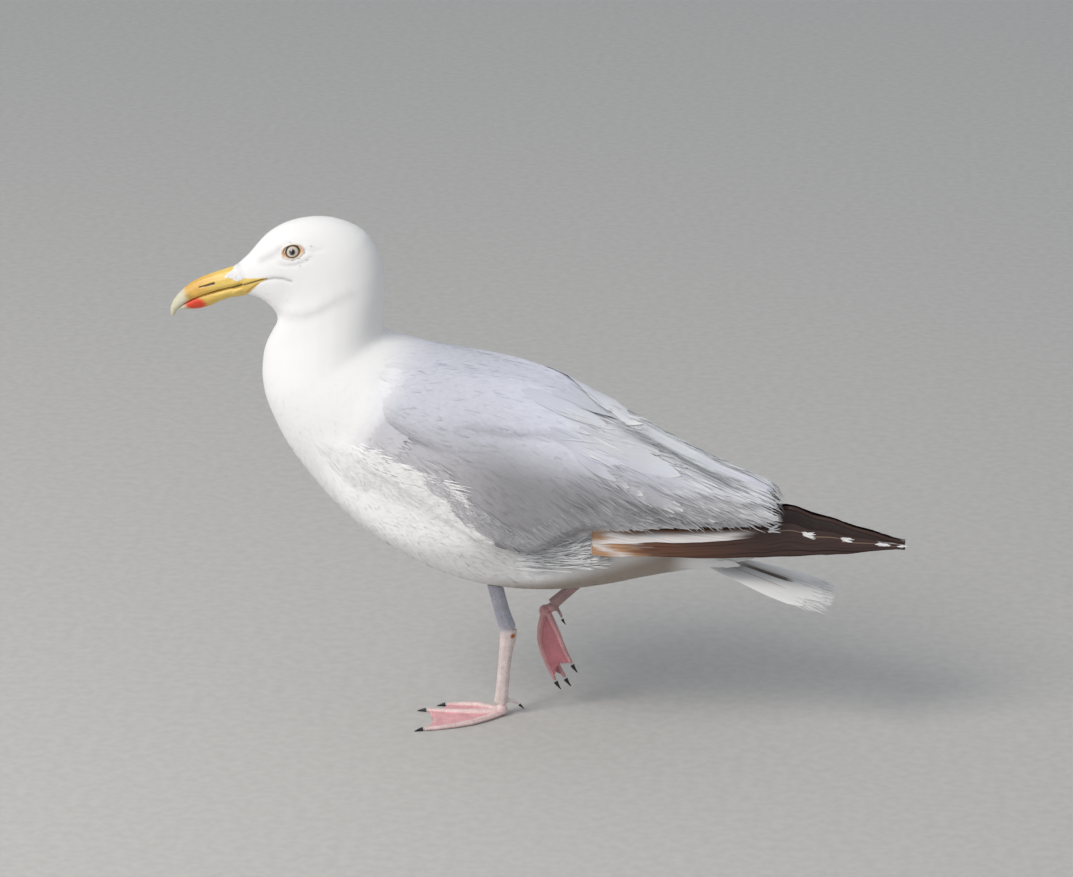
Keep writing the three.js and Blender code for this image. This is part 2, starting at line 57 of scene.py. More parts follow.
VIEW_ELEVATION = math.radians(18)
VIEW_DISTANCE = 3.5
LENS_MM = 158.5
SENSOR_MM = 36
FLOOR_COLOUR = "#bfbdb9"
FLOOR_GRIT_COLOUR = "#b8b6b2"
# Much coarser than the grit of paint, so that it shows
FLOOR_GRIT_MM = 25 / 3
FLOOR_HALF = 30.0
ROOM_COLOUR = "#e9eef6"
ROOM_STRENGTH = 0.62


def linear(colour):
    """An sRGB hex colour as linear red, green and blue, with alpha 1."""
    channels = [int(colour[i:i + 2], 16) / 255 for i in (1, 3, 5)]
    return (*[c / 12.92 if c <= 0.04045 else ((c + 0.055) / 1.055) ** 2.4 for c in channels], 1.0)


def add_node(tree, kind, settings=None, **sockets):
    """Adds a node. A socket's value is set, or linked where it is an output or another node,
    which gives its first live output."""
    node = tree.nodes.new("ShaderNode" + kind)
    for name, value in (settings or {}).items():
        setattr(node, name, value)
    for name, value in sockets.items():
        socket = next(s for s in node.inputs if name in (s.identifier, s.name.replace(" ", "_")))
        if isinstance(value, bpy.types.Node):
            value = next(s for s in value.outputs if s.enabled)
        if isinstance(value, bpy.types.NodeSocket):
            tree.links.new(value, socket)
        else:
            socket.default_value = value
    return node


def new_material(name):
    """An empty node material and its tree."""
    material = bpy.data.materials.new(name)
    material.use_nodes = True
    material.node_tree.nodes.clear()
    return material, material.node_tree


def finish_material(material, colour, shade=None, **looks):
    """Gives a material its surface. Its colour is multiplied by shade where that is given."""
    tree = material.node_tree
    if shade is not None:
        colour = add_node(
            tree, "Mix", {"data_type": "RGBA", "blend_type": "MULTIPLY"}, Factor_Float=1.0,
            A_Color=colour, B_Color=shade,
        )
    add_node(tree, "OutputMaterial", Surface=add_node(tree, "BsdfPrincipled", Base_Color=colour, **looks))
    return material


def set_ramp(node, stops):
    """Gives a colour ramp its stops, each a place and a colour."""
    ramp = node.color_ramp
    while len(ramp.elements) < len(stops):
        ramp.elements.new(1.0)
    for element, (place, colour) in zip(ramp.elements, stops):
        element.position = place
        element.color = linear(colour)
    return node


def add_object(name, data):
    """Puts a mesh, lamp or camera in the scene."""
    placed = bpy.data.objects.new(name, data)
    bpy.context.scene.collection.objects.link(placed)
    return placed


def matt_floor():
    """Painted board: matt, with a faint grit that only just shows."""
    material, tree = new_material("painted_floor")
    where = add_node(tree, "TexCoord").outputs["Object"]
    grit = add_node(tree, "TexNoise", Vector=where, Scale=1 / (FLOOR_GRIT_MM * MM), Detail=4.0)
    colours = [(0.35, FLOOR_GRIT_COLOUR), (0.65, FLOOR_COLOUR)]
    ramp = set_ramp(add_node(tree, "ValToRGB", Fac=grit), colours)
    bump = add_node(tree, "Bump", Height=grit, Distance=0.0002, Strength=0.3)
    return finish_material(material, ramp, Roughness=0.85, Normal=bump)


def add_camera():
    """A long lens, level, looking down a little at the standing bird."""
    back = Vector((
        math.sin(VIEW_AZIMUTH) * math.cos(VIEW_ELEVATION),
        -math.cos(VIEW_AZIMUTH) * math.cos(VIEW_ELEVATION),
        math.sin(VIEW_ELEVATION),
    ))
    data = bpy.data.cameras.new("camera")
    data.sensor_width = SENSOR_MM
    data.lens = LENS_MM
    data.clip_end = 100
    camera = add_object("camera", data)
    camera.location = VIEW_TARGET + VIEW_DISTANCE * back
    camera.rotation_euler = back.to_track_quat("Z", "Y").to_euler()
    bpy.context.scene.camera = camera


def add_lamp(name, place, size, power, colour):
    """A square soft lamp that faces the bird."""
    data = bpy.data.lights.new(name, "AREA")
    data.shape = "SQUARE"
    data.size = size
    data.energy = power
    data.color = linear(colour)[:3]
    lamp = add_object(name, data)
    lamp.location = place
    lamp.rotation_euler = (Vector(place) - VIEW_TARGET).to_track_quat("Z", "Y").to_euler()


add_camera()
# Places and sizes in metres, powers in watts
add_lamp("main_lamp", (-2.0, -1.7, 2.6), 1.5, 78, "#fffaf4")
add_lamp("front_fill", (-2.3, -2.1, 0.75), 1.6, 15, "#f3f5ff")
floor_mesh = bpy.data.meshes.new("floor")
floor_corners = [(x * FLOOR_HALF, y * FLOOR_HALF, 0) for x, y in ((-1, -1), (1, -1), (1, 1), (-1, 1))]
floor_mesh.from_pydata(floor_corners, [], [(0, 1, 2, 3)])
floor_mesh.materials.append(matt_floor())
floor = add_object("floor", floor_mesh)
room = bpy.data.worlds.new("room")
room.use_nodes = True
room_light = room.node_tree.nodes["Background"].inputs
room_light["Color"].default_value = linear(ROOM_COLOUR)
room_light["Strength"].default_value = ROOM_STRENGTH
bpy.context.scene.world = room
bpy.context.scene.view_settings.view_transform = "Standard"

# ---------------------------------------------------------------------------
# Skin
# One closed pale skin over head, neck, trunk and rump that carries the coat. It
# is read off the solids along rings from the face to the root of the tail, inside
# them by the coat's depth, with brow, eye hollows, cheek fold and gape crease.
# ---------------------------------------------------------------------------
# Where each ring crosses the back and the belly in the middle plane: x z, x z
BODY_RINGS = np.array([
    (-224.5, 349.5, -215, 327.5), (-214, 359, -207, 326), (-201.5, 374, -200.5, 321.5),
    (-185, 384, -195.5, 316.5), (-163.5, 388.5, -193.5, 310), (-143.5, 386, -195.5, 304),
    (-126, 376.5, -200, 297), (-116, 359, -204, 288), (-113, 338.5, -206, 276.5),
    (-114.5, 318, -206, 263), (-114.5, 302, -203, 248.5), (-97, 297, -196.5, 232),
    (-72, 290.5, -187.5, 214.5), (-44, 284.5, -172.5, 193.5), (-16, 277, -152.5, 169.5),
    (12, 267, -126, 146), (38, 251.5, -94, 127), (61, 232.5, -58, 113),
    (82, 215, -20, 107.5), (102, 196.5, 18, 108), (120, 180, 52, 113),
    (136.5, 164.5, 82, 120), (150.5, 149, 112, 125.5),
])
BODY_LAST = len(BODY_RINGS) - 1
# Rings before this one don't reach the wings
HEAD_ONLY = 10.0
# Farther out from the middle of a ring than any wall
OUTSIDE = 150.0
DOWN_GRAIN_MM = 10 / 9
FLESH_NODES = ("head", "neck", "breast", "trunk", "rump")
SIDES = {"left": -1, "right": 1}
EYE_RADIUS = 7.2
EYE_CENTRE = np.array([sum(c[i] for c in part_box("eye_right")) / 2 / MM for i in range(3)])


def smooth_curve(points, at):
    """Reads a smooth curve through evenly numbered points at fractional numbers."""
    points = np.asarray(points, float)
    last = len(points) - 1
    low = np.clip(np.floor(at).astype(int), 0, last - 1)
    t = (np.asarray(at) - low)[..., None]
    a, b = points[np.maximum(low - 1, 0)], points[low]
    c, d = points[low + 1], points[np.minimum(low + 2, last)]
    return b + 0.5 * t * (c - a + t * (2 * a - 5 * b + 4 * c - d + t * (3 * (b - c) + d - a)))


def smooth_step(value, low, high):
    """0 below low, 1 above high, and a soft rise between."""
    t = np.clip((value - low) / (high - low), 0, 1)
    return t * t * (3 - 2 * t)


def soft_band(value, start, full, fade, end):
    """0 outside start and end, 1 from full to fade, and soft between."""
    return smooth_step(value, start, full) * smooth_step(-value, -end, -fade)


def bell(value, width):
    """1 where value is 0, and next to nothing from twice the width on, both ways."""
    return np.exp(-(value / width) ** 2)


def unit(vectors):
    """Vectors made one long."""
    return vectors / np.maximum(np.linalg.norm(vectors, axis=-1, keepdims=True), 1e-9)


def blend(colour, other, share):
    """Colours mixed by a share at each point."""
    share = np.asarray(share)[..., None]
    return np.asarray(colour) * (1 - share) + np.asarray(other) * share


def joined_solids(names):
    """CAD nodes in one editable mesh."""
    joined = bmesh.new()
    for name in names:
        joined.from_mesh(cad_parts[name].data)
    return joined


def welded(solids, name, voxel, rounds):
    """A mesh of the solids as one even skin, their gaps closed, softened by rounds of smoothing."""
    mesh = bpy.data.meshes.new(name)
    solids.to_mesh(mesh)
    solids.free()
    piece = add_object("unwelded", mesh)
    weld = piece.modifiers.new("weld", "REMESH")
    weld.mode = "VOXEL"
    weld.voxel_size = voxel * MM
    weld.use_smooth_shade = True
    if rounds:
        even = piece.modifiers.new("even", "SMOOTH")
        even.factor = 0.5
        even.iterations = rounds
    bpy.context.view_layer.update()
    done = bpy.data.meshes.new_from_object(piece.evaluated_get(bpy.context.evaluated_depsgraph_get()))
    bpy.data.objects.remove(piece)
    return done


def measured_solid(names, voxel=0):
    """CAD nodes as a search tree in millimetres, welded across their gaps if a voxel is given."""
    joined = joined_solids(names)
    if voxel:
        skin = welded(joined, "measured", voxel, 0)
        joined = bmesh.new()
        joined.from_mesh(skin)
    joined.transform(Matrix.Scale(1 / MM, 4))
    tree = BVHTree.FromBMesh(joined)
    joined.free()
    return tree


def soften(grid, rounds, closed):
    """Evens out a grid of values along its rings and around them."""
    before, after = (slice(-2, -1), slice(1, 2)) if closed else (slice(0, 1), slice(-1, None))
    for _ in range(rounds):
        ends = np.concatenate([grid[:1], grid, grid[-1:]])
        grid = (ends[:-2] + 2 * grid + ends[2:]) / 4
        around = np.concatenate([grid[:, before], grid, grid[:, after]], 1)
        grid = (around[:, :-2] + 2 * grid + around[:, 2:]) / 4
    return grid


class Surface:
    """A surface of rings around the body. A place on it is a ring number and an angle from the
    back, below 0 on the bird's left."""

    def __init__(self, points, last_ring, half_turn, closed):
        self.points = points
        self.last_ring = last_ring
        self.half_turn = half_turn
        self.closed = closed
        self.measure()

    def measure(self):
        """Slopes along and around, and the normals."""
        rings, columns = self.points.shape[:2]
        self.along = np.gradient(self.points, self.last_ring / (rings - 1), axis=0)
        self.around = np.gradient(self.points, 2 * self.half_turn / (columns - 1), axis=1)
        if self.closed:
            step = 4 * self.half_turn / (columns - 1)
            seam = (self.points[:, 1] - self.points[:, -2]) / step
            self.around[:, 0] = self.around[:, -1] = seam
        self.normal = unit(np.cross(self.along, self.around))

    def raise_by(self, height):
        """Moves the surface out along its normals."""
        self.points = self.points + self.normal * height[..., None]
        self.measure()

    def read(self, ring, angle, field=None):
        """The surface's points at any places on it, or another of its fields."""
        field = self.points if field is None else field
        rings, columns = field.shape[:2]
        if self.closed:
            angle = (angle + self.half_turn) % (2 * self.half_turn) - self.half_turn
        row = np.clip(ring / self.last_ring * (rings - 1), 0, rings - 1.001)
        column = (angle + self.half_turn) / (2 * self.half_turn) * (columns - 1)
        column = np.clip(column, 0, columns - 1.001)
        i, j = row.astype(int), column.astype(int)
        u, v = (row - i)[..., None], (column - j)[..., None]
        upper = field[i, j] * (1 - v) + field[i, j + 1] * v
        lower = field[i + 1, j] * (1 - v) + field[i + 1, j + 1] * v
        return upper * (1 - u) + lower * u


def ring_rays(lines, at, angles):
    """The middle of each ring, and the directions out from it."""
    ends = smooth_curve(lines, at)
    upper = np.stack([ends[:, 0], np.zeros(len(at)), ends[:, 1]], -1)
    lower = np.stack([ends[:, 2], np.zeros(len(at)), ends[:, 3]], -1)
    up = unit(upper - lower)
    turns = angles[None, :, None]
    out = np.cos(turns) * up[:, None] + np.sin(turns) * (0.0, 1.0, 0.0)
    return (upper + lower) / 2, out


def reach_from_inside(tree, middle, out):
    """How far the solid's wall is from the middle of each ring."""
    reach = np.zeros(out.shape[:2])
    for i, j in np.ndindex(reach.shape):
        hit = tree.ray_cast(Vector(middle[i]), Vector(out[i, j]))
        reach[i, j] = hit[3] if hit[3] is not None else reach[i, j - 1]
    return reach


def reach_from_outside(trees, middle, out):
    """How far the outermost wall is from the middle of each ring, or nothing (nan)."""
    reach = np.zeros(out.shape[:2])
    for i, j in np.ndindex(reach.shape):
        origin = Vector(middle[i] + OUTSIDE * out[i, j])
        hits = [tree.ray_cast(origin, Vector(-out[i, j]), OUTSIDE)[3] for tree in trees]
        reach[i, j] = max((OUTSIDE - hit for hit in hits if hit is not None), default=np.nan)
    return reach


def path_distance(points, path):
    """How far points are, seen from the side, from a line of x z points, how far along it they
    are, and whether above it (1) or below (-1)."""
    flat = points[..., [0, 2]]
    best = np.full(flat.shape[:-1], 1e9)
    share = np.zeros(flat.shape[:-1])
    above = np.zeros(flat.shape[:-1])
    for i, (a, b) in enumerate(zip(path[:-1], path[1:])):
        a, b = np.array(a, float), np.array(b, float)
        t = np.clip(((flat - a) @ (b - a)) / ((b - a) @ (b - a)), 0, 1)
        gap = flat - (a + t[..., None] * (b - a))
        distance = np.linalg.norm(gap, axis=-1)
        nearer = distance < best
        best = np.where(nearer, distance, best)
        share = np.where(nearer, (i + t) / (len(path) - 1), share)
        above = np.where(nearer, np.sign(gap[..., 1]), above)
    return best, share, above


flesh = measured_solid([*FLESH_NODES, "eye_left", "eye_right"], 2.0)
wings = [measured_solid([name]) for name in ("wing_left", "wing_right")]
body_at = np.linspace(0.12, len(BODY_RINGS) - 1.1, 330)
body_turn = np.linspace(-math.pi, math.pi, 145)
body_middle, body_out = ring_rays(BODY_RINGS, body_at, body_turn)
is_head = body_at < HEAD_ONLY
flesh_reach = soften(reach_from_inside(flesh, body_middle, body_out), 3, True)
full_reach = flesh_reach.copy()
wing_reach = reach_from_outside(wings, body_middle[~is_head], body_out[~is_head])
full_reach[~is_head] = np.fmax(full_reach[~is_head], wing_reach)
full_reach = soften(full_reach, 4, True)
# The down fills the groove under the wing's edge
filled = np.maximum(full_reach, soften(full_reach, 50, True))
on_flank = smooth_step(body_at, 10.5, 12)[:, None] * smooth_step(np.abs(body_turn), 0.9, 1.2)
full_reach = full_reach * (1 - on_flank) + filled * on_flank
behind_wings = smooth_step(body_at, 16.0, 18.5)[:, None]
body_reach = full_reach * (1 - behind_wings) + flesh_reach * behind_wings
body_coat = Surface(body_middle[:, None] + body_out * body_reach[..., None], BODY_LAST, math.pi, True)

# Folds of the head, as lines of x z seen from the side
GAPE_CREASE = [(-226, 333), (-214, 338), (-203, 343), (-193, 346), (-186, 346), (-180, 344.5)]
CHEEK_FOLD = [(-192, 318), (-183, 317.5), (-172, 319), (-161, 323), (-149, 330), (-137, 336)]
REAR_CREASE = [(-170, 367.5), (-163, 367), (-155, 369)]
LORE_HOLLOW = [(-203, 357), (-196, 361), (-189, 366)]
EYE_SLOPE = math.atan2(4.7, 18.7)
EYE_LOOK = unit(np.array([-0.125, 0.94, 0.32]))
LID_LONG = 8.2
LID_HIGH = 5.1
EYE_SPOT = EYE_CENTRE + EYE_RADIUS * EYE_LOOK


def eye_distance(points):
    """How far out points lie from the eye's middle, where 1 is the edge of the bare eye ring."""
    gap = points[..., [0, 2]] - EYE_SPOT[[0, 2]]
    long = gap[..., 0] * math.cos(EYE_SLOPE) + gap[..., 1] * math.sin(EYE_SLOPE)
    high = gap[..., 1] * math.cos(EYE_SLOPE) - gap[..., 0] * math.sin(EYE_SLOPE)
    return np.hypot(long / LID_LONG, high / LID_HIGH)


def bare_gape(points):
    """1 on the bare yellow skin that runs back from the bill along the mouth, 0 elsewhere."""
    x, z = points[..., 0], points[..., 2]
    upper = np.interp(x, [-232, -214, -203], [341.5, 342.5, 344.5])
    lower = np.interp(x, [-222, -213, -203], [324, 331.5, 342.5])
    inside = smooth_step(z - lower, -0.5, 0.5) * smooth_step(upper - z, -0.5, 0.5)
    return inside * smooth_step(-x, 201, 204) * (np.abs(points[..., 1]) > 2)


def head_folds(points):
    """How far the head's folds raise or sink the surface, in millimetres."""
    beside = smooth_step(np.abs(points[..., 1]), 5, 12) * (body_at < 9)[:, None]
    cheek, cheek_share, cheek_above = path_distance(points, CHEEK_FOLD)
    rear, rear_share, _ = path_distance(points, REAR_CREASE)
    around_eye = eye_distance(points)
    fold = -0.6 * bell(path_distance(points, GAPE_CREASE)[0], 1.5)
    fold -= 0.7 * bell(rear, 1.5) * (1 - 0.7 * rear_share)
    fold -= 0.9 * bell(path_distance(points, LORE_HOLLOW)[0], 3.2)
    swell = np.where(cheek_above > 0, 0.6, -0.7) * np.sin(np.pi * np.clip(cheek_share, 0.08, 0.92))
    fold += swell * bell(cheek, 6.0) * (cheek / (cheek + 2.5))
    fold += 0.3 * bell(around_eye - 1.6, 0.4)
    fold -= 0.5 * bell(around_eye - 2.0, 0.3) * smooth_step(EYE_SPOT[2] - points[..., 2], 2, 8)
    return fold * beside


body_coat.raise_by(head_folds(body_coat.points))
# By ring: the coat's depth
COAT_DEPTH = [(0, 0.4), (2, 0.5), (5, 0.8), (8, 1.1), (11, 1.7), (15, 2.8), (19, 2.6), (22, 2.0)]
coat_depth = np.interp(body_at, *zip(*COAT_DEPTH))[:, None]
in_eye = smooth_step(-eye_distance(body_coat.points), -1.0, -0.72) * (body_at < 6)[:, None]
body_skin = body_coat.points - body_coat.normal * (coat_depth + 3.5 * in_eye)[..., None]

# The grey of the back and wings: its front edge and its lower edge, x z from the side
WHITE = linear("#edecea")
BELLY_SHADE_WHITE = linear("#988b7d")
GAPE_YELLOW = linear("#dfb657")
# The grey is painted paler on the upper parts, as painted light, and darker on the lower wing, as painted
# shade
LIT_MANTLE_GREY = linear("#d0d1da")
SHADED_COVERT_GREY = linear("#c6c4c7")
GREY_FRONT = [(-90, 330), (-96, 296), (-104, 276), (-111, 258), (-126, 236), (-134, 222)]
GREY_BELOW = [
    (-134, 222), (-122, 214), (-107, 210), (-90, 201), (-72, 197), (-66, 181), (-57, 175),
    (-45, 168), (-35, 160), (-22, 150), (0, 146), (14, 152), (30, 162), (52, 170), (120, 168), (200, 160),
]


def front_gap(points):
    """How far points lie behind the front edge of the grey, in millimetres."""
    front_x, front_z = np.array(GREY_FRONT)[::-1].T
    return points[..., 0] - np.interp(points[..., 2], front_z, front_x)


def lower_gap(points):
    """How far points lie above the lower edge of the grey, in millimetres."""
    return points[..., 2] - np.interp(points[..., 0], *zip(*GREY_BELOW))


def plumage_colour(points):
    """White, and grey on the back and wings, softly parted across the shoulders, with painted light and
    shade.
    """
    x, z = points[..., 0], points[..., 2]
    softness = 13 + 10 * smooth_step(z, 240, 280)
    grey = smooth_step(front_gap(points), -softness, softness)
    grey = grey * smooth_step(lower_gap(points), -2, 5) * smooth_step(-x, -215, -205)
    # Painted shade: the grey is darker low on the wing and darkest on its rear coverts. Painted light makes
    # it paler on the upper parts towards the rear
    low = smooth_step(258 - 0.28 * (x + 100) - z, -14, 30)
    rear = smooth_step(x, -80, -10) * low
    shade = blend(LIT_MANTLE_GREY, SHADED_COVERT_GREY, low)
    shade = shade * (1 - 0.42 * rear + 0.42 * smooth_step(x, -60, 60) * (1 - low))[..., None]
    shade = np.minimum(shade, 0.92)
    # Painted shade in the crease of the mouth, and painted soft shadows before the eye and under the cheek
    crease = 0.45 * bell(path_distance(points, GAPE_CREASE[2:])[0], 0.8)
    shaded = 0.13 * bell(path_distance(points, LORE_HOLLOW)[0], 3.0)
    shaded = shaded + 0.10 * bell(path_distance(points, CHEEK_FOLD)[0], 4.0)
    white = blend(WHITE, GAPE_YELLOW, bare_gape(points))
    white = white * (1 - np.clip(crease + shaded * (z > 300), 0, 1))[..., None]
    # The belly is painted darker and warmer, as painted shade, and the nook under the wing's edge carries a
    # painted shadow
    belly_shade_top = 128 + 0.3 * np.maximum(x, 0)
    belly_shade = 0.95 * smooth_step(belly_shade_top - z, 0, 18) * soft_band(x, -60, 0, 96, 118)
    nook_shadow = 0.5 * bell(lower_gap(points) + 3, 3.5) * soft_band(x, -34, -24, -8, 4)
    white = blend(white, BELLY_SHADE_WHITE, np.clip(belly_shade + nook_shadow, 0, 1))
    return blend(white, shade, grey)


MAP_MARGIN = 0.01


def paint(mesh, colour):
    """Gives each point of a mesh its colour, which the materials read as tint."""
    shades = np.ones((len(mesh.vertices), 4), np.float32)
    shades[:, :3] = colour.reshape(-1, colour.shape[-1])[:, :3]
    mesh.attributes.new("tint", "FLOAT_COLOR", "POINT").data.foreach_set("color", shades.reshape(-1))


def build(name, rings, material, colour, place, vane=None, facing=None, patch=0.003):
    """A mesh of closed bodies. rings is bodies x rings x points around x xyz, in millimetres.
    place is each body's place on the coat's map, or each point's own. vane is across, along and
    a chance number at every point. facing gives the points' normals where they aren't the
    mesh's own."""
    bodies, count, around = rings.shape[:3]
    per_body = count * around
    j = np.arange(around)
    k = np.arange(count - 1)[:, None]
    after = (j + 1) % around
    corners = np.stack([
        k * around + j, k * around + after, (k + 1) * around + after, (k + 1) * around + j,
    ], -1).reshape(-1)
    pattern = np.concatenate([corners, j[::-1], (count - 1) * around + j])
    sizes = np.concatenate([np.full((count - 1) * around, 4), [around, around]])
    smooth = np.full(len(sizes), True)
    smooth[-2:] = facing is not None
    loops = (np.arange(bodies)[:, None] * per_body + pattern).reshape(-1)
    totals = np.tile(sizes, bodies)
    starts = np.concatenate([[0], np.cumsum(totals)[:-1]])
    mesh = bpy.data.meshes.new(name)
    mesh.vertices.add(bodies * per_body)
    mesh.vertices.foreach_set("co", (rings * MM).astype(np.float32).reshape(-1))
    mesh.loops.add(len(loops))
    mesh.loops.foreach_set("vertex_index", loops.astype(np.int32))
    mesh.polygons.add(len(totals))
    mesh.polygons.foreach_set("loop_start", starts.astype(np.int32))
    mesh.polygons.foreach_set("loop_total", totals.astype(np.int32))
    mesh.polygons.foreach_set("use_smooth", np.tile(smooth, bodies))
    mesh.update(calc_edges=True)
    colour = np.asarray(colour)
    paint(mesh, np.broadcast_to(colour, (bodies, count, around, colour.shape[-1])))
    vane = np.zeros(rings.shape) if vane is None else vane
    lie = mesh.attributes.new("vane", "FLOAT_VECTOR", "POINT")
    lie.data.foreach_set("vector", vane.astype(np.float32).reshape(-1))
    if place.ndim == 2:
        place = place[:, None, None, :] + patch * (vane[..., :2] * (0.5, 1.0) - (0.0, 0.5))
    spots = np.clip(place.reshape(-1, 2)[loops], 0.001, 0.999)
    bake = mesh.uv_layers.new(name="OFBake")
    bake.data.foreach_set("uv", spots.astype(np.float32).reshape(-1))
    mesh.materials.append(material)
    mesh.validate()
    if facing is not None:
        # A vane's lower face looks the other way
        upper = 3 if around == 3 else around // 2 + 1
        sides = np.tile(np.repeat(np.where(j < upper - 1, 1.0, -1.0), 4), count - 1)
        turned = np.concatenate([sides, np.ones(2 * around)])
        mesh.normals_split_custom_set(facing.reshape(-1, 3)[loops] * np.tile(turned, bodies)[:, None])
    piece = add_object(name, mesh)
    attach(piece, "root")
    return piece


def inside_map(share):
    """A share of the way over the coat's map, kept off its edges."""
    return MAP_MARGIN + (1 - 2 * MAP_MARGIN) * share


def coat_map(surface, ring, angle):
    """A place on the coat's map: the skin opened out flat along the belly."""
    v = np.clip((angle / surface.half_turn + 1) / 2, 0, 1)
    return np.stack([inside_map(ring / surface.last_ring), inside_map(v)], -1)


def sheet_map(rows, columns):
    """A place on the coat's map for each point of a single body."""
    return np.stack(np.broadcast_arrays(rows[:, None], columns[None]), -1)[None]


def skin_finish():
    """Bird skin under the coat: matt and finely grained, in the plumage's own colours."""
    material, tree = new_material("feathered_skin")
    tint = add_node(tree, "Attribute", {"attribute_name": "tint"})
    where = add_node(tree, "TexCoord").outputs["Object"]
    down = add_node(tree, "TexNoise", Vector=where, Scale=1 / (DOWN_GRAIN_MM * MM), Detail=3.0)
    shade = add_node(tree, "MapRange", Value=down, To_Min=0.8, To_Max=1.0)
    bump = add_node(tree, "Bump", Height=down, Distance=0.0004, Strength=0.5)
    return finish_material(material, tint, shade, Roughness=0.9, Normal=bump)


def add_skin():
    """The skin's rings, drawn in at both ends so that it closes."""
    points = body_skin[:, :0:-1]
    face_middle = points[0].mean(0) + (1.5, 0, -0.6)
    tail_middle = points[-1].mean(0) + (1.5, 0, -0.5)
    face = [face_middle + (points[0] - face_middle) * share for share in (0.05, 0.6)]
    tail = [tail_middle + (points[-1] - tail_middle) * share for share in (0.6, 0.05)]
    rings = np.concatenate([face, points, tail])[None]
    u = np.clip(np.concatenate([[0, 0], body_at, [BODY_LAST] * 2]) / BODY_LAST, 0, 1)
    own = sheet_map(inside_map(u), inside_map(np.linspace(1, 0, points.shape[1])))
    return build("skin", rings, skin_finish(), plumage_colour(rings), own)


skin = add_skin()
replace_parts(skin, *FLESH_NODES)

# ---------------------------------------------------------------------------
# Body plumage
# Small white contour feathers over the whole skin, in staggered rows that overlap
# like tiles. Each is a thin curved vane rooted in the skin, tiny on the face, and
# long and soft with a frayed end on the breast, flanks and belly.
# ---------------------------------------------------------------------------
# By ring: how far apart the roots are, and each feather's length and half width
BODY_SPACING = [(0, 0.85), (2, 1.0), (4, 1.4), (7, 1.8), (11, 2.4), (15, 3.0), (19, 3.3), (22, 3.5)]
BODY_LENGTH = [(0, 2.4), (1.5, 3.2), (4, 6.0), (7, 8.5), (11, 13), (15, 18), (19, 22), (22, 24)]
BODY_HALF_WIDTH = [(0, 0.62), (2, 0.74), (4, 0.95), (7, 1.2), (11, 1.7), (15, 2.2), (19, 2.6), (22, 3.2)]
# By ring: how deep the roots are sunk, as a share of the coat's depth
BODY_SUNK = [(0, -0.18), (9, -0.2), (13, -0.25), (17, -0.36)]
SHAGGY_SLOPE = math.radians(-16)
# Light and dark lines along and across a vane, and how far one vane's differ from the next's.
# There are far fewer than a vane has barbs, so that they show
BARB_LINES = (26.0, 1.2, 40.0)
BARB_SLANT = 0.35
BODY_PARTS = {
    "plumage_face": (0.15, 3.3), "plumage_head": (3.3, 7.0), "plumage_neck": (7.0, 11.0),
    "plumage_breast": (11.0, 14.4), "plumage_belly": (14.4, 22.0),
}


def chance(seed):
    """A numbered source of chance, the same on every run."""
    return np.random.default_rng(seed)


def by_ring(table, ring):
    """A size read from a table of ring and value."""
    return np.interp(ring, *zip(*table))


def staggered_roots(surface, first, last, spacing, seed):
    """Ring and angle of feather roots in staggered rows. spacing is by ring, in millimetres."""
    draw = chance(seed)
    fine = np.linspace(-surface.half_turn, surface.half_turn, 361)
    rings, angles = [], []
    ring, row = first, 0
    while ring < last:
        at = np.full(fine.shape, ring)
        around = np.linalg.norm(surface.read(at, fine, surface.around), axis=-1)
        along = np.linalg.norm(surface.read(at, fine, surface.along), axis=-1)
        gap = by_ring(spacing, ring)
        filled = np.concatenate([[0], np.cumsum((around[1:] + around[:-1]) / 2 * np.diff(fine))]) / gap
        count = int(filled[-1])
        number = np.arange(count) + 0.5 * (row % 2) + draw.uniform(-0.28, 0.28, count)
        angle = np.interp(number, filled, fine)
        speed = np.interp(angle, fine, along)
        kept = draw.uniform(size=count) < speed / along.max() * 1.05
        jitter = draw.uniform(-0.35, 0.35, count) * gap / speed
        rings.append((ring + jitter)[kept])
        angles.append(angle[kept])
        ring += gap * 0.8 / along.max()
        row += 1
    return np.concatenate(rings), np.concatenate(angles)


def lie_steps(surface, ring, angle, length, turn, aim=None):
    """How ring and angle change over a feather's length. The feather follows the rings back,
    turned by turn towards the back, or lies along aim where that is given."""
    along, around, normal = (
        surface.read(ring, angle, field) for field in (surface.along, surface.around, surface.normal)
    )
    lie = unit(along)
    if aim is not None:
        weight = np.linalg.norm(aim, axis=-1, keepdims=True)
        lie = lie * (1 - weight) + aim
        lie = unit(lie - normal * (lie * normal).sum(-1, keepdims=True))
    beside = np.cross(normal, lie)
    lie = lie * np.cos(turn)[..., None] + beside * np.sin(turn)[..., None]
    a, b, c = (along * along).sum(-1), (along * around).sum(-1), (around * around).sum(-1)
    p, q = (along * lie).sum(-1) * length, (around * lie).sum(-1) * length
    det = np.maximum(a * c - b * b, 1e-6)
    return (c * p - b * q) / det, (a * q - b * p) / det


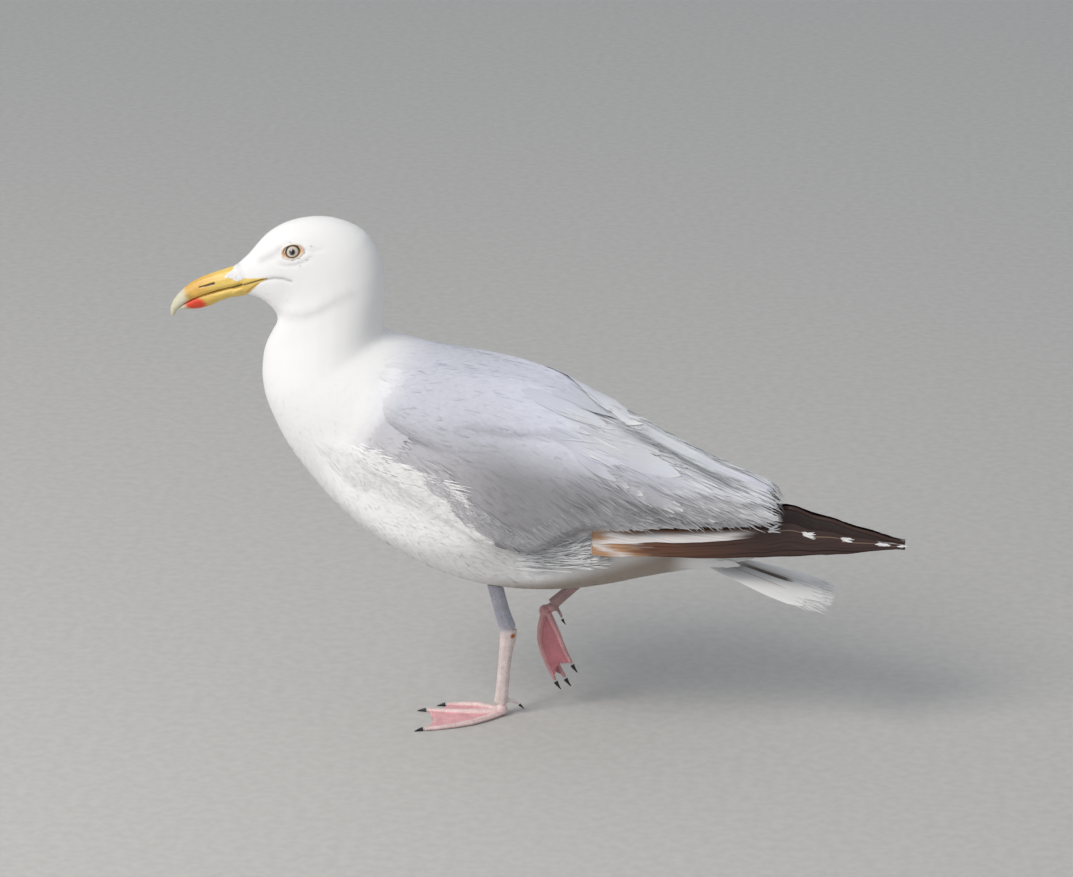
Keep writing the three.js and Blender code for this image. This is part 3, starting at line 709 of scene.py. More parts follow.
def feathers(surface, ring, angle, steps, half_width, low, high, seed, *, stops=(0, 0.35, 0.75, 1.0),
             widths=(0.5, 1.0, 0.8, 0.1), rise=0.1, columns=3, bow=0.0, under=0.0, calm=0.0):
    """Feathers laid along a surface: rings of points, each point's place across and along, its
    normal, and each root's place on the coat's map.
    steps is how ring and angle change over the length. low and high are the heights of root
    and tip over the surface, and rise is a vane's crown as a share of its half width. A vane
    with its own lower face is under thick. calm is how far its normals are the surface's own."""
    count = len(ring)
    stops = np.asarray(stops, float)
    at = ring[:, None] + steps[0][:, None] * stops
    bend = np.broadcast_to(bow, (count,))[:, None] * stops * (1 - stops)
    angles = angle[:, None] + steps[1][:, None] * stops + bend
    normal = surface.read(at, angles, surface.normal)
    past = np.maximum(at - surface.last_ring, 0)[..., None]
    points = surface.read(at, angles) + surface.read(at, angles, surface.along) * past
    low, high = (np.broadcast_to(v, (count,))[:, None] for v in (low, high))
    points = points + normal * (low + (high - low) * stops ** 1.2)[..., None]
    tangent = unit(np.gradient(points, axis=1))
    side = unit(np.cross(tangent, normal))
    lift = np.cross(side, tangent)
    wide = half_width[:, None] * np.asarray(widths)
    across = np.linspace(-1, 1, columns)
    sunk = np.zeros(columns)
    if under:
        across = np.concatenate([across, across[-2:0:-1]])
        sunk = np.concatenate([sunk, np.full(columns - 2, under)])
    raised = rise * wide[..., None] * (1 - across ** 2) - sunk
    rings = points[:, :, None] + side[:, :, None] * (wide[..., None] * across)[..., None]
    rings = rings + lift[:, :, None] * raised[..., None]
    luck = chance(seed).uniform(size=count)
    vane = np.broadcast_arrays(across[None, None], stops[None, :, None], luck[:, None, None])
    facing = lift[:, :, None] + side[:, :, None] * (2 * rise * across)[:, None]
    facing = unit(facing * (1 - calm) + normal[:, :, None] * calm)
    # A feather that a tight fold would turn over is left out
    runs = unit(np.diff(points, axis=1))
    steep = np.abs((runs * (normal[:, 1:] + normal[:, :-1]) / 2).sum(-1)).max(1)
    sound = ((lift * normal).sum(-1).min(1) > 0.82) & (steep < 0.45)
    return rings[sound], np.stack(vane, -1)[sound], facing[sound], coat_map(surface, ring, angle)[sound]


def barb_streaks(tree, strength):
    """Fine slanting lines of barbs, from each vane's own across and along, and their bump."""
    lie = add_node(tree, "Attribute", {"attribute_name": "vane"}).outputs["Vector"]
    parts = add_node(tree, "SeparateXYZ", Vector=lie).outputs
    away = add_node(tree, "Math", {"operation": "ABSOLUTE"}, Value=parts["X"])
    slant = add_node(
        tree, "Math", {"operation": "MULTIPLY_ADD"}, Value=away, Value_001=-BARB_SLANT, Value_002=parts["Y"],
    )
    spread = add_node(tree, "CombineXYZ", X=slant, Y=parts["X"], Z=parts["Z"])
    drawn = add_node(tree, "VectorMath", {"operation": "MULTIPLY"}, Vector=spread, Vector_001=BARB_LINES)
    noise = add_node(tree, "TexNoise", Vector=drawn, Scale=1.0, Detail=3.0, Roughness=0.6)
    bump = add_node(tree, "Bump", Height=noise, Distance=0.0003, Strength=strength)
    return parts["Y"], away, noise, bump


def soft_plumage(name, dark, light, streak):
    """Contour feathers: keratin barbs that fray at the edge, so the surface is matt and a little
    glossy along the grain. Each vane is painted darker towards its root, as painted shade where the next
    overlaps it."""
    material, tree = new_material(name)
    tint = add_node(tree, "Attribute", {"attribute_name": "tint"})
    along, _, noise, bump = barb_streaks(tree, streak)
    # dark is the painted shade towards each vane's root
    root = add_node(tree, "MapRange", Value=along, From_Max=0.7, To_Min=dark, To_Max=1.0)
    fleck = add_node(
        tree, "MapRange", Value=noise, From_Min=0.25, From_Max=0.75, To_Min=light, To_Max=1.0,
    )
    shade = add_node(tree, "Math", {"operation": "MULTIPLY"}, Value=root, Value_001=fleck)
    return finish_material(
        material, tint, shade, Roughness=0.72, Normal=bump, Sheen_Weight=0.15, Sheen_Roughness=0.5,
        Specular_IOR_Level=0.25,
    )


def slope_aim(slope, weight):
    """Directions that fall backwards at a slope, seen from the side, with a weight each."""
    return np.stack([np.cos(slope), np.zeros_like(slope), np.sin(slope)], -1) * np.asarray(weight)[..., None]


def lit_through(points, facing):
    """Loose flank barbs pass the light on, so there they face a little upwards."""
    x, y, z = points[..., 0], points[..., 1], points[..., 2]
    front = soft_band(z, 138, 165, 215, 245) * smooth_step(x, -175, -140) * smooth_step(np.abs(y), 25, 45)
    rear = soft_band(z, 116, 130, 155, 165) * soft_band(x, -25, 5, 45, 75)
    return unit(facing + (front + rear)[..., None] * (-0.22, 0, 0.40))


def add_body_plumage(name, first, last, seed):
    """One stretch of the white coat, without what the folded wings hide."""
    ring, angle = staggered_roots(body_coat, first, last, BODY_SPACING, seed)
    roots = body_coat.read(ring, angle)
    bare_eye = (eye_distance(roots) < 1.05) & (ring < 6) & (np.abs(roots[:, 1]) > 9)
    under_wing = (front_gap(roots) > 14) & (lower_gap(roots) > 3) & (ring < 17.3)
    kept = ~(bare_eye | under_wing | (bare_gape(roots) > 0.5) & (ring < 4))
    ring, angle, roots = ring[kept], angle[kept], roots[kept]
    draw = chance(seed + 1)
    count = len(ring)
    depth = by_ring(COAT_DEPTH, ring)
    near_eye = smooth_step(-eye_distance(roots), -2.2, -1.2) * (ring < 6)
    ahead = smooth_step(EYE_SPOT[0] - roots[:, 0], -2, 4)
    shaggy = soft_band(np.abs(angle), 0.9, 1.3, 2.2, 2.6) * soft_band(ring, 12.0, 13.4, 16.8, 18.5)
    length = by_ring(BODY_LENGTH, ring) * draw.uniform(0.8, 1.2, count)
    length *= (1 - (0.35 + 0.3 * ahead) * near_eye) * (1 + 0.5 * shaggy)
    half_width = by_ring(BODY_HALF_WIDTH, ring) * draw.uniform(0.8, 1.15, count)
    half_width *= (1 - 0.12 * near_eye) * (1 - 0.35 * shaggy)
    aim = slope_aim(np.full(count, SHAGGY_SLOPE), 0.75 * shaggy)
    turn = draw.normal(0, 0.09, count) * (1 + 0.8 * shaggy)
    steps = lie_steps(body_coat, ring, angle, length, turn, aim)
    # The coat leaves the eye's ring bare
    tips = body_coat.read(ring + steps[0], angle + steps[1])
    clear = ~((eye_distance(tips) < 0.97) & (ring < 6) & (np.abs(tips[:, 1]) > 9))
    ring, angle, half_width, depth, shaggy, *steps = (
        v[clear] for v in (ring, angle, half_width, depth, shaggy, *steps)
    )
    count = len(ring)
    high = depth * draw.uniform(-0.04, 0.02, count) + 0.12 * shaggy * draw.uniform(0.2, 1, count)
    rings, vane, facing, place = feathers(
        body_coat, ring, angle, steps, half_width, by_ring(BODY_SUNK, ring) * depth, high, seed + 2,
        rise=0.08, calm=0.9, widths=(0.6, 1.0, 0.92, 0.3 if first < 10 else 0.14),
    )
    return build(name, rings, smooth_white, plumage_colour(rings), place, vane, lit_through(rings, facing))


def add_flank_plumes(name, spacing, reach, seed, swept=False):
    """Long loose barbs of the flank, that part and hang over the wing's lower edge. reach is the
    span of the roots, in millimetres above that edge. The swept ones rise behind the coverts."""
    ring, angle = staggered_roots(body_coat, 10.8, 20.0 if swept else 17.6, [(0, spacing)], seed)
    roots = body_coat.read(ring, angle)
    x, y, z = roots.T
    gap = lower_gap(roots)
    if swept:
        kept = (np.abs(x - 10) < 28) & (np.abs(z - 142) < 8) & (np.abs(y) > 25)
    else:
        kept = (gap > reach[0]) & (gap < 2 + (reach[1] - 2) * smooth_step(-x, 20, 70))
        kept &= (np.abs(angle) > 0.8) & (np.abs(angle) < 2.5) & (front_gap(roots) > -45)
    ring, angle, x, gap = ring[kept], angle[kept], x[kept], gap[kept]
    draw = chance(seed + 1)
    count = len(ring)
    at_edge = smooth_step(gap, -26, -4)
    length = draw.uniform(16, 27, count) + 8 * at_edge * draw.uniform(0, 1, count)
    slope = np.radians(-15 + 34 * smooth_step(x, -25, 8) * at_edge) + draw.normal(0, 0.10, count)
    lifted = draw.uniform(-0.1, 0.12, count) + 0.9 * at_edge
    if swept:
        slope, lifted = np.radians(draw.uniform(8, 42, count)), draw.uniform(1.2, 8.0, count)
    aim = slope_aim(slope, 0.95 if swept else 0.85)
    steps = lie_steps(body_coat, ring, angle, length, np.zeros(count), aim)
    rings, vane, facing, place = feathers(
        body_coat, ring, angle, steps, draw.uniform(0.3, 0.62, count) * (1 + 0.4 * swept), -1.0, lifted,
        seed + 2, rise=0.16, calm=0.88, bow=draw.uniform(-0.03, 0.03, count),
    )
    facing = lit_through(rings, facing)
    if swept:
        facing = unit(facing + (-0.15, 0, 0.4))
    return build(name, rings, shaggy_white, WHITE, place, vane, facing)


smooth_white = soft_plumage("white_contour_feathers", 1.0, 0.97, 0.08)
shaggy_white = soft_plumage("loose_white_flank_feathers", 0.96, 0.96, 0.15)
add_flank_plumes("flank_plumes", 1.9, (-60, 2.0), 90)
add_flank_plumes("flank_edge_plumes", 1.45, (-14, 13.0), 95)
add_flank_plumes("swept_plumes", 1.6, (0, 0), 97, swept=True)
for number, (part, (first, last)) in enumerate(BODY_PARTS.items()):
    add_body_plumage(part, first, last, 10 * number + 5)

# ---------------------------------------------------------------------------
# Folded wings
# Grey feathers over both wings and the mantle between them, on a thin bed that
# follows the solids: small soft ones on the shoulders and coverts, and larger rear
# scapulars, tertials and hanging secondaries, whose white tips are worn and split.
# ---------------------------------------------------------------------------
# Where each ring crosses the back and the belly in the middle plane: x z, x z
WING_RINGS = np.array([
    (-101, 297.5, -202.5, 244), (-72, 293, -187.5, 212.5), (-44, 287.5, -170.5, 186.5),
    (-16, 282.5, -150.5, 161.5), (14, 273, -124, 138), (42, 258, -92, 119),
    (68, 244, -56, 106), (92, 231, -14, 101), (115, 218.5, 30, 102.5),
    (138.5, 207, 72, 108.5), (161.5, 197, 110, 114.5), (182.5, 187.5, 144.5, 121.5),
    (200.5, 179, 174.5, 128.5),
])
WING_HALF_TURN = 2.3
WING_FIRST, WING_LAST = -0.6, 12
# From this ring on, the wings lie beside each other with no mantle between them
MANTLE_END = 6.4
SLIT_DEPTH = 5.0
MANTLE_TURN = 0.55
# Lines of x z seen from the side
SHOULDER_CREASE = [(-113, 259), (-105, 248), (-94, 240), (-68, 230)]
TERTIAL_GAP = [(65, 236), (88, 226), (112, 213), (137, 199), (152, 192)]
SCAPULAR_CREASE = [(-50, 245), (-40, 245), (-20, 240), (10, 238), (24, 233)]
COVERT_EDGE = [
    (-52, 171), (-33, 160), (-23, 150), (-8, 146), (4, 146), (15, 154), (50, 172), (66, 176), (84, 177),
]


def fill_row(values):
    """A row with its gaps filled from its neighbours."""
    known = ~np.isnan(values)
    return np.interp(np.arange(len(values)), np.flatnonzero(known), values[known])


def toward_ends(share, power):
    """1 along the middle of a line, and less towards both its ends."""
    return np.sin(np.pi * np.clip(share * 0.9 + 0.05, 0, 1)) ** power


def crease_step(points, path, height):
    """Raises what lies above a crease, with a short steep face down to it."""
    distance, share, above = path_distance(points, path)
    rise = np.where(above > 0, smooth_step(distance, -0.5, 4.0) * np.exp(-distance / 26), 0)
    return height * toward_ends(share, 0.4) * (rise - 0.35 * bell(distance, 3.0))


wing_at = np.linspace(WING_FIRST, WING_LAST, 170)
wing_turn = np.linspace(-WING_HALF_TURN, WING_HALF_TURN, 131)
wing_middle, wing_out = ring_rays(WING_RINGS, wing_at, wing_turn)
on_wing = reach_from_outside(wings, wing_middle, wing_out)
on_flesh = reach_from_outside([flesh], wing_middle, wing_out)
off_mantle = (wing_at[:, None] > MANTLE_END) & (np.abs(wing_turn)[None] < 0.9)
wing_reach = np.fmax(on_wing, np.where(off_mantle, np.nan, on_flesh))
last_hit = np.flatnonzero((~np.isnan(on_wing)).any(1))[-1]
wing_reach[last_hit + 1:] = wing_reach[last_hit]
on_wing[last_hit + 1:] = on_wing[last_hit]
wing_reach = np.stack([fill_row(row) for row in wing_reach])
# Behind the mantle a slit parts the two wings
wing_reach = soften(wing_reach - SLIT_DEPTH * (np.isnan(on_wing) & off_mantle), 4, False)
wing_points = wing_middle[:, None] + wing_out * wing_reach[..., None]
wing_coat = Surface(wing_points, WING_LAST - WING_FIRST, WING_HALF_TURN, False)
wing_folds = crease_step(wing_points, SHOULDER_CREASE, 2.2) + crease_step(wing_points, SCAPULAR_CREASE, 1.4)
wing_coat.raise_by(wing_folds * smooth_step(np.abs(wing_points[..., 1]), 20, 40))
# Each ring's lowest angle that is still on a wing
wing_lowest = np.array([np.max(np.abs(wing_turn[~np.isnan(row)]), initial=0.9) for row in on_wing])
wing_lowest = soften(wing_lowest[:, None], 3, False)[:, 0]


def side_place(surface, x, z, side):
    """Ring and angle of the points seen from one side at x z."""
    angles = np.linspace(0.02, 1.85, 150) * side
    rings = np.linspace(0, surface.last_ring, 300)
    grid_ring, grid_angle = (g.ravel() for g in np.meshgrid(rings, angles, indexing="ij"))
    seen = surface.read(grid_ring, grid_angle)[:, [0, 2]]
    best = np.array([np.argmin(((seen - spot) ** 2).sum(-1)) for spot in zip(x, z)])
    return grid_ring[best], grid_angle[best]


def covert_slope(points):
    """The slope of the feathers' lie, gentle over the scapulars and steep over the coverts."""
    creases = SHOULDER_CREASE[:1] + SHOULDER_CREASE[3:] + SCAPULAR_CREASE[1:]
    below = smooth_step(np.interp(points[..., 0], *zip(*creases)) - points[..., 2], -4, 24)
    rear = smooth_step(points[..., 0], 20, 80)
    return np.radians(-19 - (21 - 10 * rear) * below)


def folded_shade(points):
    """The dusk between overlapping feathers, under the wing's creases and over the tertials."""
    dusk = np.zeros(points.shape[:-1])
    for path, strength in ((SHOULDER_CREASE, 0.30), (SCAPULAR_CREASE, 0.16), (TERTIAL_GAP, 0.55)):
        distance, share, above = path_distance(points, path)
        spread = np.where(above > 0, 7.0, 2.2)
        dusk += strength * toward_ends(share, 0.5) * np.exp(-(distance / spread) ** 1.4)
    return (1 - dusk * (np.abs(points[..., 1]) > 17))[..., None]


def add_wing_bed(name, side):
    """The thin bed under one wing's feathers, a closed shell from shoulder to tertials."""
    at = np.linspace(0.8, 11.2, 110)
    low = np.interp(at + WING_FIRST, wing_at, wing_lowest) - 0.04
    shares = np.linspace(0, 1, 34)
    angles = (0.03 + (low[:, None] - 0.03) * shares) * side
    rings = np.broadcast_to(at[:, None], angles.shape)
    points, normal = wing_coat.read(rings, angles), wing_coat.read(rings, angles, wing_coat.normal)
    shell = np.concatenate([points - 1.3 * normal, (points - 3.4 * normal)[:, ::-1]], 1)
    if side > 0:
        shell = shell[:, ::-1]
    own = sheet_map(inside_map(at / wing_coat.last_ring), np.append(shares, shares[::-1]) * 0.45 + 0.02)
    # The bed is painted darker than the feathers over it, as painted shade under them
    colour = np.clip(plumage_colour(shell[None]) * 0.88, 0, 1)
    return build(name, shell[None], loose_barbs, colour, own)


def wing_roots(first, last, spacing, seed):
    """Roots over the wings and mantle that lie in the grey."""
    ring, angle = staggered_roots(wing_coat, first, last, [(0, spacing)], seed)
    roots = wing_coat.read(ring, angle)
    low = np.interp(ring + WING_FIRST, wing_at, wing_lowest)
    margin = 7 + 5 * smooth_step(ring, 3, 6)
    in_grey = (front_gap(roots) > -12) & (np.abs(angle) < low) & (lower_gap(roots) > margin)
    return ring[in_grey], angle[in_grey], roots[in_grey]


def add_small_coverts(name, keep, seed):
    """Small contour feathers over the shoulders, mantle and coverts."""
    ring, angle, roots = wing_roots(0.9, 10.3, 2.4, seed)
    kept = keep(angle)
    ring, angle, roots = ring[kept], angle[kept], roots[kept]
    draw = chance(seed + 1)
    count = len(ring)
    length = np.interp(ring, [0, 3, 9], [13, 19, 24]) * draw.uniform(0.85, 1.2, count)
    half_width = np.interp(ring, [0, 3, 9], [1.9, 2.3, 2.9]) * draw.uniform(0.85, 1.1, count)
    slope = covert_slope(roots) + draw.normal(0, 0.06, count)
    aim = slope_aim(slope, 0.95 * smooth_step(np.abs(roots[:, 1]), 8, 30))
    steps = lie_steps(wing_coat, ring, angle, length, draw.normal(0, 0.04, count), aim)
    rings, vane, facing, place = feathers(
        wing_coat, ring, angle, steps, half_width, -0.55, draw.uniform(-0.06, 0.04, count), seed + 2,
        rise=0.08, calm=0.92,
    )
    tint = plumage_colour(rings) * (0.965 + 0.06 * vane[..., 2:3]) * folded_shade(rings)
    build(name, rings, covert_vanes, np.clip(tint, 0, 1), place, vane, facing)


def add_loose_barbs(name, spacing, seed, keep, length, lift=0.0, pale=0.0):
    """Single barbs that part from the vanes and lie along the wing. keep is given their roots
    and chance numbers, and pale is how white their ends are."""
    ring, angle, roots = wing_roots(1.2, 10.8, spacing, seed)
    draw = chance(seed + 1)
    kept = keep(roots, draw.uniform(size=len(ring))) & (np.abs(roots[:, 1] + 2) > 11)
    ring, angle, roots = ring[kept], angle[kept], roots[kept]
    count = len(ring)
    aim = slope_aim(covert_slope(roots) + draw.normal(0, 0.09, count), 1.0)
    steps = lie_steps(wing_coat, ring, angle, draw.uniform(*length, count), np.zeros(count), aim)
    rings, vane, facing, place = feathers(
        wing_coat, ring, angle, steps, draw.uniform(0.3, 0.6, count), lift - 0.8,
        lift + draw.uniform(0.2, 0.7, count), seed + 2, bow=draw.uniform(-0.05, 0.05, count), calm=0.6,
    )
    white = np.clip(0.3 * smooth_step(rings[..., 0], 80, 160) + pale * vane[..., 1], 0, 1)
    tint = blend(plumage_colour(rings), WHITE, white) * (0.84 + 0.28 * vane[..., 2:3])
    tint = tint * folded_shade(rings) * layered_shade(rings)
    build(name, rings, loose_barbs, np.clip(tint, 0, 0.92), place, vane, facing)


LONG_STOPS = np.array([0, 0.12, 0.28, 0.45, 0.62, 0.76, 0.87, 0.95, 1.0])
LONG_WIDTHS = np.array([0.3, 0.6, 0.85, 1.0, 0.95, 0.8, 0.58, 0.32, 0.05])
# Large feathers of one wing, by tract: tip x z, length, slope, half width, lift, share of white tip
LARGE_FEATHERS = {
    "tertials": [
        (178, 171, 105, -17, 9, 0.3, 0.24), (170, 184, 100, -21, 9, 0.5, 0.2),
        (165, 175, 100, -19, 9, 0.8, 0.26), (150, 181, 95, -21, 9.5, 1.1, 0.2),
        (139, 174, 90, -22, 9, 1.4, 0.24), (128, 191, 88, -25, 9.5, 1.7, 0.1),
        (112, 182, 80, -28, 8.5, 1.9, 0.14), (106, 205, 82, -27, 9, 2.1, 0.05),
    ],
    "secondaries": [
        (106, 178, 48, -31, 5, 1.2, 0.16), (97, 184, 48, -33, 5, 1.5, 0.12),
        (88, 190, 46, -35, 4.5, 1.8, 0.08), (80, 194, 44, -36, 4.5, 2.0, 0.06),
        (70, 200, 42, -37, 4, 2.2, 0.04), (60, 206, 40, -36, 4, 2.3, 0.0),
    ],
    "scapulars": [
        (92, 219, 80, -28, 7.5, 1.2, 0.12), (76, 232, 78, -27, 7.5, 1.3, 0.13),
        (52, 241, 72, -24, 7.5, 1.2, 0.0), (64, 216, 66, -28, 6.5, 0.9, 0.0),
    ],
}


def layered_shade(points):
    """The dusk along the lower edge of each large feather, where it lies over the next."""
    dusk = np.zeros(points.shape[:-1])
    for x, z, length, slope, half_width, *_ in LARGE_FEATHERS["tertials"] + LARGE_FEATHERS["secondaries"]:
        back, fall = math.cos(math.radians(slope)), math.sin(math.radians(slope))
        past = points[..., [0, 2]] - (x, z)
        along = 1 + (past @ (back, fall)) / length
        edge = past @ (fall, -back) - half_width * np.interp(along, LONG_STOPS, LONG_WIDTHS)
        shade = 0.5 * soft_band(along, 0.3, 0.6, 0.98, 1.06)
        dusk = np.maximum(dusk, shade * np.where(edge > -0.4, np.exp(-(edge + 0.4) / 2.6), 0))
    return (1 - dusk)[..., None]


def tract_places(side, rows):
    """Roots and steps of large feathers that end at given tips, with their other columns."""
    tip_x, tip_z, length, slope, half_width, lift, white = np.array(rows, float).T
    slope = np.radians(slope)
    tip_ring, tip_angle = side_place(wing_coat, tip_x, tip_z, side)
    ring, angle = side_place(
        wing_coat, tip_x - length * np.cos(slope), tip_z - length * np.sin(slope), side,
    )
    return ring, angle, tip_ring - ring, tip_angle - angle, length, half_width, lift, white


def add_large_feathers(name, side, rows, seed, shaded):
    """Large feathers of one tract, with pale rims and white tips."""
    ring, angle, along, around, _, half_width, lift, white = tract_places(side, rows)
    rings, vane, facing, place = feathers(
        wing_coat, ring, angle, (along, around), half_width, lift * 0.3 - 0.8, lift, seed,
        stops=LONG_STOPS, widths=LONG_WIDTHS, rise=0.13, columns=9, under=0.45,
    )
    along, away = vane[..., 1], np.abs(vane[..., 0])
    white = white[:, None, None]
    rim = 0.22 * smooth_step(away, 0.8, 0.97) * smooth_step(along, 0.3, 0.8)
    tip = smooth_step(along + 0.05 * away, 1.0 - 1.1 * white, 1.04 - 0.8 * white)
    # The grey is the lit one from 205 mm up and the shaded one below, as painted light and painted shade
    base = blend(SHADED_COVERT_GREY, LIT_MANTLE_GREY, rings[..., 2] > 205)
    base = base * (1 - shaded * soft_band(along, 0.2, 0.5, 0.55, 0.85))[..., None]
    base = base * (0.93 + 0.1 * vane[..., 2:3]) * 0.4 + plumage_colour(rings) * 0.6
    tint = blend(base, WHITE, np.clip(rim + tip, 0, 1)) * folded_shade(rings)
    build(name, rings, covert_vanes, tint, place, vane, facing, patch=0.012)


def add_frayed_tips(name, side, tracts, seed, colour):
    """Split barbs at the ends of large feathers."""
    per = 20
    sideways = np.full(per, math.pi / 2)
    draw = chance(seed)
    found = []
    for rows in tracts:
        for ring, angle, along, around, length, half_width, lift, _ in zip(*tract_places(side, rows)):
            t = draw.uniform(0.74, 0.97, per)
            edge = draw.uniform(-1, 1, per)
            at = ring + along * t, angle + around * t
            across = lie_steps(wing_coat, *at, half_width * edge * 0.8, sideways)
            reach = draw.uniform(4, 13, per) / length
            found.append((at[0] + across[0], at[1] + across[1], along * reach, around * reach, edge,
                          np.full(per, lift + 0.1)))
    ring, angle, along, around, edge, lift = (np.concatenate(v) for v in zip(*found))
    count = len(ring)
    fan = lie_steps(wing_coat, ring, angle, 3.0 * edge, np.full(count, math.pi / 2))
    rings, vane, facing, place = feathers(
        wing_coat, ring, angle, (along + fan[0], around + fan[1]), draw.uniform(0.2, 0.38, count),
        lift - 0.5, lift + draw.uniform(-0.1, 0.15, count), seed + 2,
    )
    pale = 0.1 + 0.8 * smooth_step(rings[..., 0], 85, 130) * (len(tracts) > 1)
    build(name, rings, loose_barbs, blend(colour, WHITE, pale), place, vane, facing)


def covert_rows(path, count, length, slope, half_width, lift, white):
    """A row of equal feathers with tips spread along a line."""
    path = np.array(path, float)
    far = np.append(0, np.cumsum(np.linalg.norm(np.diff(path, axis=0), axis=1)))
    at = np.linspace(0, far[-1], count)
    tips = zip(np.interp(at, far, path[:, 0]), np.interp(at, far, path[:, 1]), np.linspace(*slope, count))
    return [(x, z, length, slant, half_width, lift, white) for x, z, slant in tips]


GREATER_COVERTS = covert_rows(COVERT_EDGE, 34, 36, (-44, -27), 3.2, 0.7, 0.0)
covert_vanes = soft_plumage("grey_covert_feathers", 0.93, 0.94, 0.16)
loose_barbs = soft_plumage("loose_grey_barbs", 0.93, 0.94, 0.12)
for name, side in SIDES.items():
    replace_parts(add_wing_bed("wing_bed_" + name, side), "wing_" + name)
add_small_coverts("coverts_left", lambda a: a < -MANTLE_TURN, 310)
add_small_coverts("coverts_right", lambda a: a > MANTLE_TURN, 320)
add_small_coverts("mantle", lambda a: np.abs(a) <= MANTLE_TURN, 330)
add_loose_barbs(
    "covert_barbs", 4.2, 340,
    lambda p, luck: luck < 0.2 + 0.6 * smooth_step(-lower_gap(p), -75, -25), (14, 32),
)
add_loose_barbs(
    "covert_b_edge", 2.1, 343,
    lambda p, luck: (lower_gap(p) < 27) & (p[:, 0] > -85) & (p[:, 0] < 60), (13, 23), 0.9, 0.25,
)
add_loose_barbs(
    "rear_barbs", 3.4, 345, lambda p, luck: luck < 0.4 * smooth_step(p[:, 0], 0, 75), (14, 32), 1.7,
)
add_loose_barbs(
    "rear_b_silk", 2.3, 347,
    lambda p, luck: luck < 0.55 * smooth_step(p[:, 0], 60, 120) * smooth_step(-p[:, 2], -215, -195),
    (18, 34), 2.4, 0.35,
)
for name, side in SIDES.items():
    add_large_feathers("greater_coverts_" + name, side, GREATER_COVERTS, 350, 0.05)
    for tract, rows in LARGE_FEATHERS.items():
        add_large_feathers(tract + "_" + name, side, rows, 360, 0.02 if tract == "scapulars" else 0.28)
    # The frayed tips take the darker grey, which carries painted shade
    add_frayed_tips("frayed_tips_" + name, side, [*LARGE_FEATHERS.values()], 370, SHADED_COVERT_GREY)
    add_frayed_tips("frayed_coverts_" + name, side, [GREATER_COVERTS], 380, SHADED_COVERT_GREY)

# ---------------------------------------------------------------------------
# Primaries
# The long dark flight feathers of each folded wing, stiff vanes of brown-black
# keratin on a pale shaft. They lie stacked with the shortest outermost, each
# with a small worn white tip, and are bleached pale brown at their base.
# ---------------------------------------------------------------------------
PRIMARY_LEAN = math.radians(38)
PRIMARY_FRONT, PRIMARY_BACK = 42.0, 274.0
# By vane, the outermost first. A place is across the stack, from -1 to 1
PRIMARY_TIPS = np.array([175, 201, 230, 257.5, 274])
PRIMARY_ROOT_PLACE = np.array([0.62, 0.30, 0.0, -0.32, -0.62])
PRIMARY_TIP_PLACE = np.array([0.55, 0.45, 0.40, 0.25, 0.0])
PRIMARY_HALF_WIDTH = np.array([8.5, 8.0, 7.5, 6.5, 5.0])
PRIMARY_LIFT = np.array([1.6, 1.1, 0.6, 0.2, -0.2])
PRIMARIES = len(PRIMARY_TIPS)
# Stands in for the outermost vane's chance number
OUTERMOST_MARK = 3
# How far out a ray at a solid starts
RAY_START = 300
DARK_VANE = linear("#3d2a24")
BROWN_VANE = linear("#6b4632")
WORN_VANE = linear("#b98f6c")
BLEACHED_VANE = linear("#e3deda")
SHAFT_HORN = linear("#a48a74")


def outer_face(node, axis_x, lean, side):
    """A surface over the outer side of a solid: across it at each x, from one edge to the other,
    as it is seen from one side and from lean above level."""
    tree = measured_solid([node])
    outward = Vector((0, side * math.cos(lean), math.sin(lean)))
    up = Vector((0, -side * math.sin(lean), math.cos(lean)))
    heights = np.arange(-80, 420, 0.5)
    shares = np.linspace(0.03, 0.97, 25)
    rows = []
    for x in axis_x:
        origins = [Vector((x, 0, 0)) + up * float(height) + outward * RAY_START for height in heights]
        hits = [tree.ray_cast(origin, -outward, 2 * RAY_START)[3] for origin in origins]
        reach = np.array([np.nan if hit is None else RAY_START - hit for hit in hits])
        known = np.flatnonzero(~np.isnan(reach))
        if len(known) < 3:
            rows.append(rows[-1] + np.array([x - rows[-1][0, 0], 0, 0]))
            continue
        at = heights[known[0]] + (heights[known[-1]] - heights[known[0]]) * shares
        out = np.interp(at, heights[known], reach[known])
        rows.append(np.array([x, 0, 0]) + at[:, None] * np.array(up) + out[:, None] * np.array(outward))
    face = soften(np.stack(rows), 2, False)
    return Surface(face[:, ::-1] if side > 0 else face, 1.0, 1.0, False)


def flight_feather(name, dark, light, roughness):
    """Flight feather vane: barbs zipped tight, with a satin gloss and a paler raised shaft."""
    material, tree = new_material(name)
    tint = add_node(tree, "Attribute", {"attribute_name": "tint"})
    _, away, noise, bump = barb_streaks(tree, 0.25)
    shaft = add_node(tree, "MapRange", Value=away, From_Min=0.05, From_Max=0.09, To_Min=0.55, To_Max=0.0)
    fleck = add_node(tree, "MapRange", Value=noise, From_Min=0.3, From_Max=0.7, To_Min=dark, To_Max=light)
    vane = add_node(
        tree, "Mix", {"data_type": "RGBA", "blend_type": "MULTIPLY"}, Factor_Float=1.0, A_Color=tint,
        B_Color=fleck,
    )
    shafted = add_node(
        tree, "Mix", {"data_type": "RGBA"}, Factor_Float=shaft, A_Color=vane, B_Color=SHAFT_HORN,
    )
    return finish_material(material, shafted, Roughness=roughness, Normal=bump, Specular_IOR_Level=0.4)


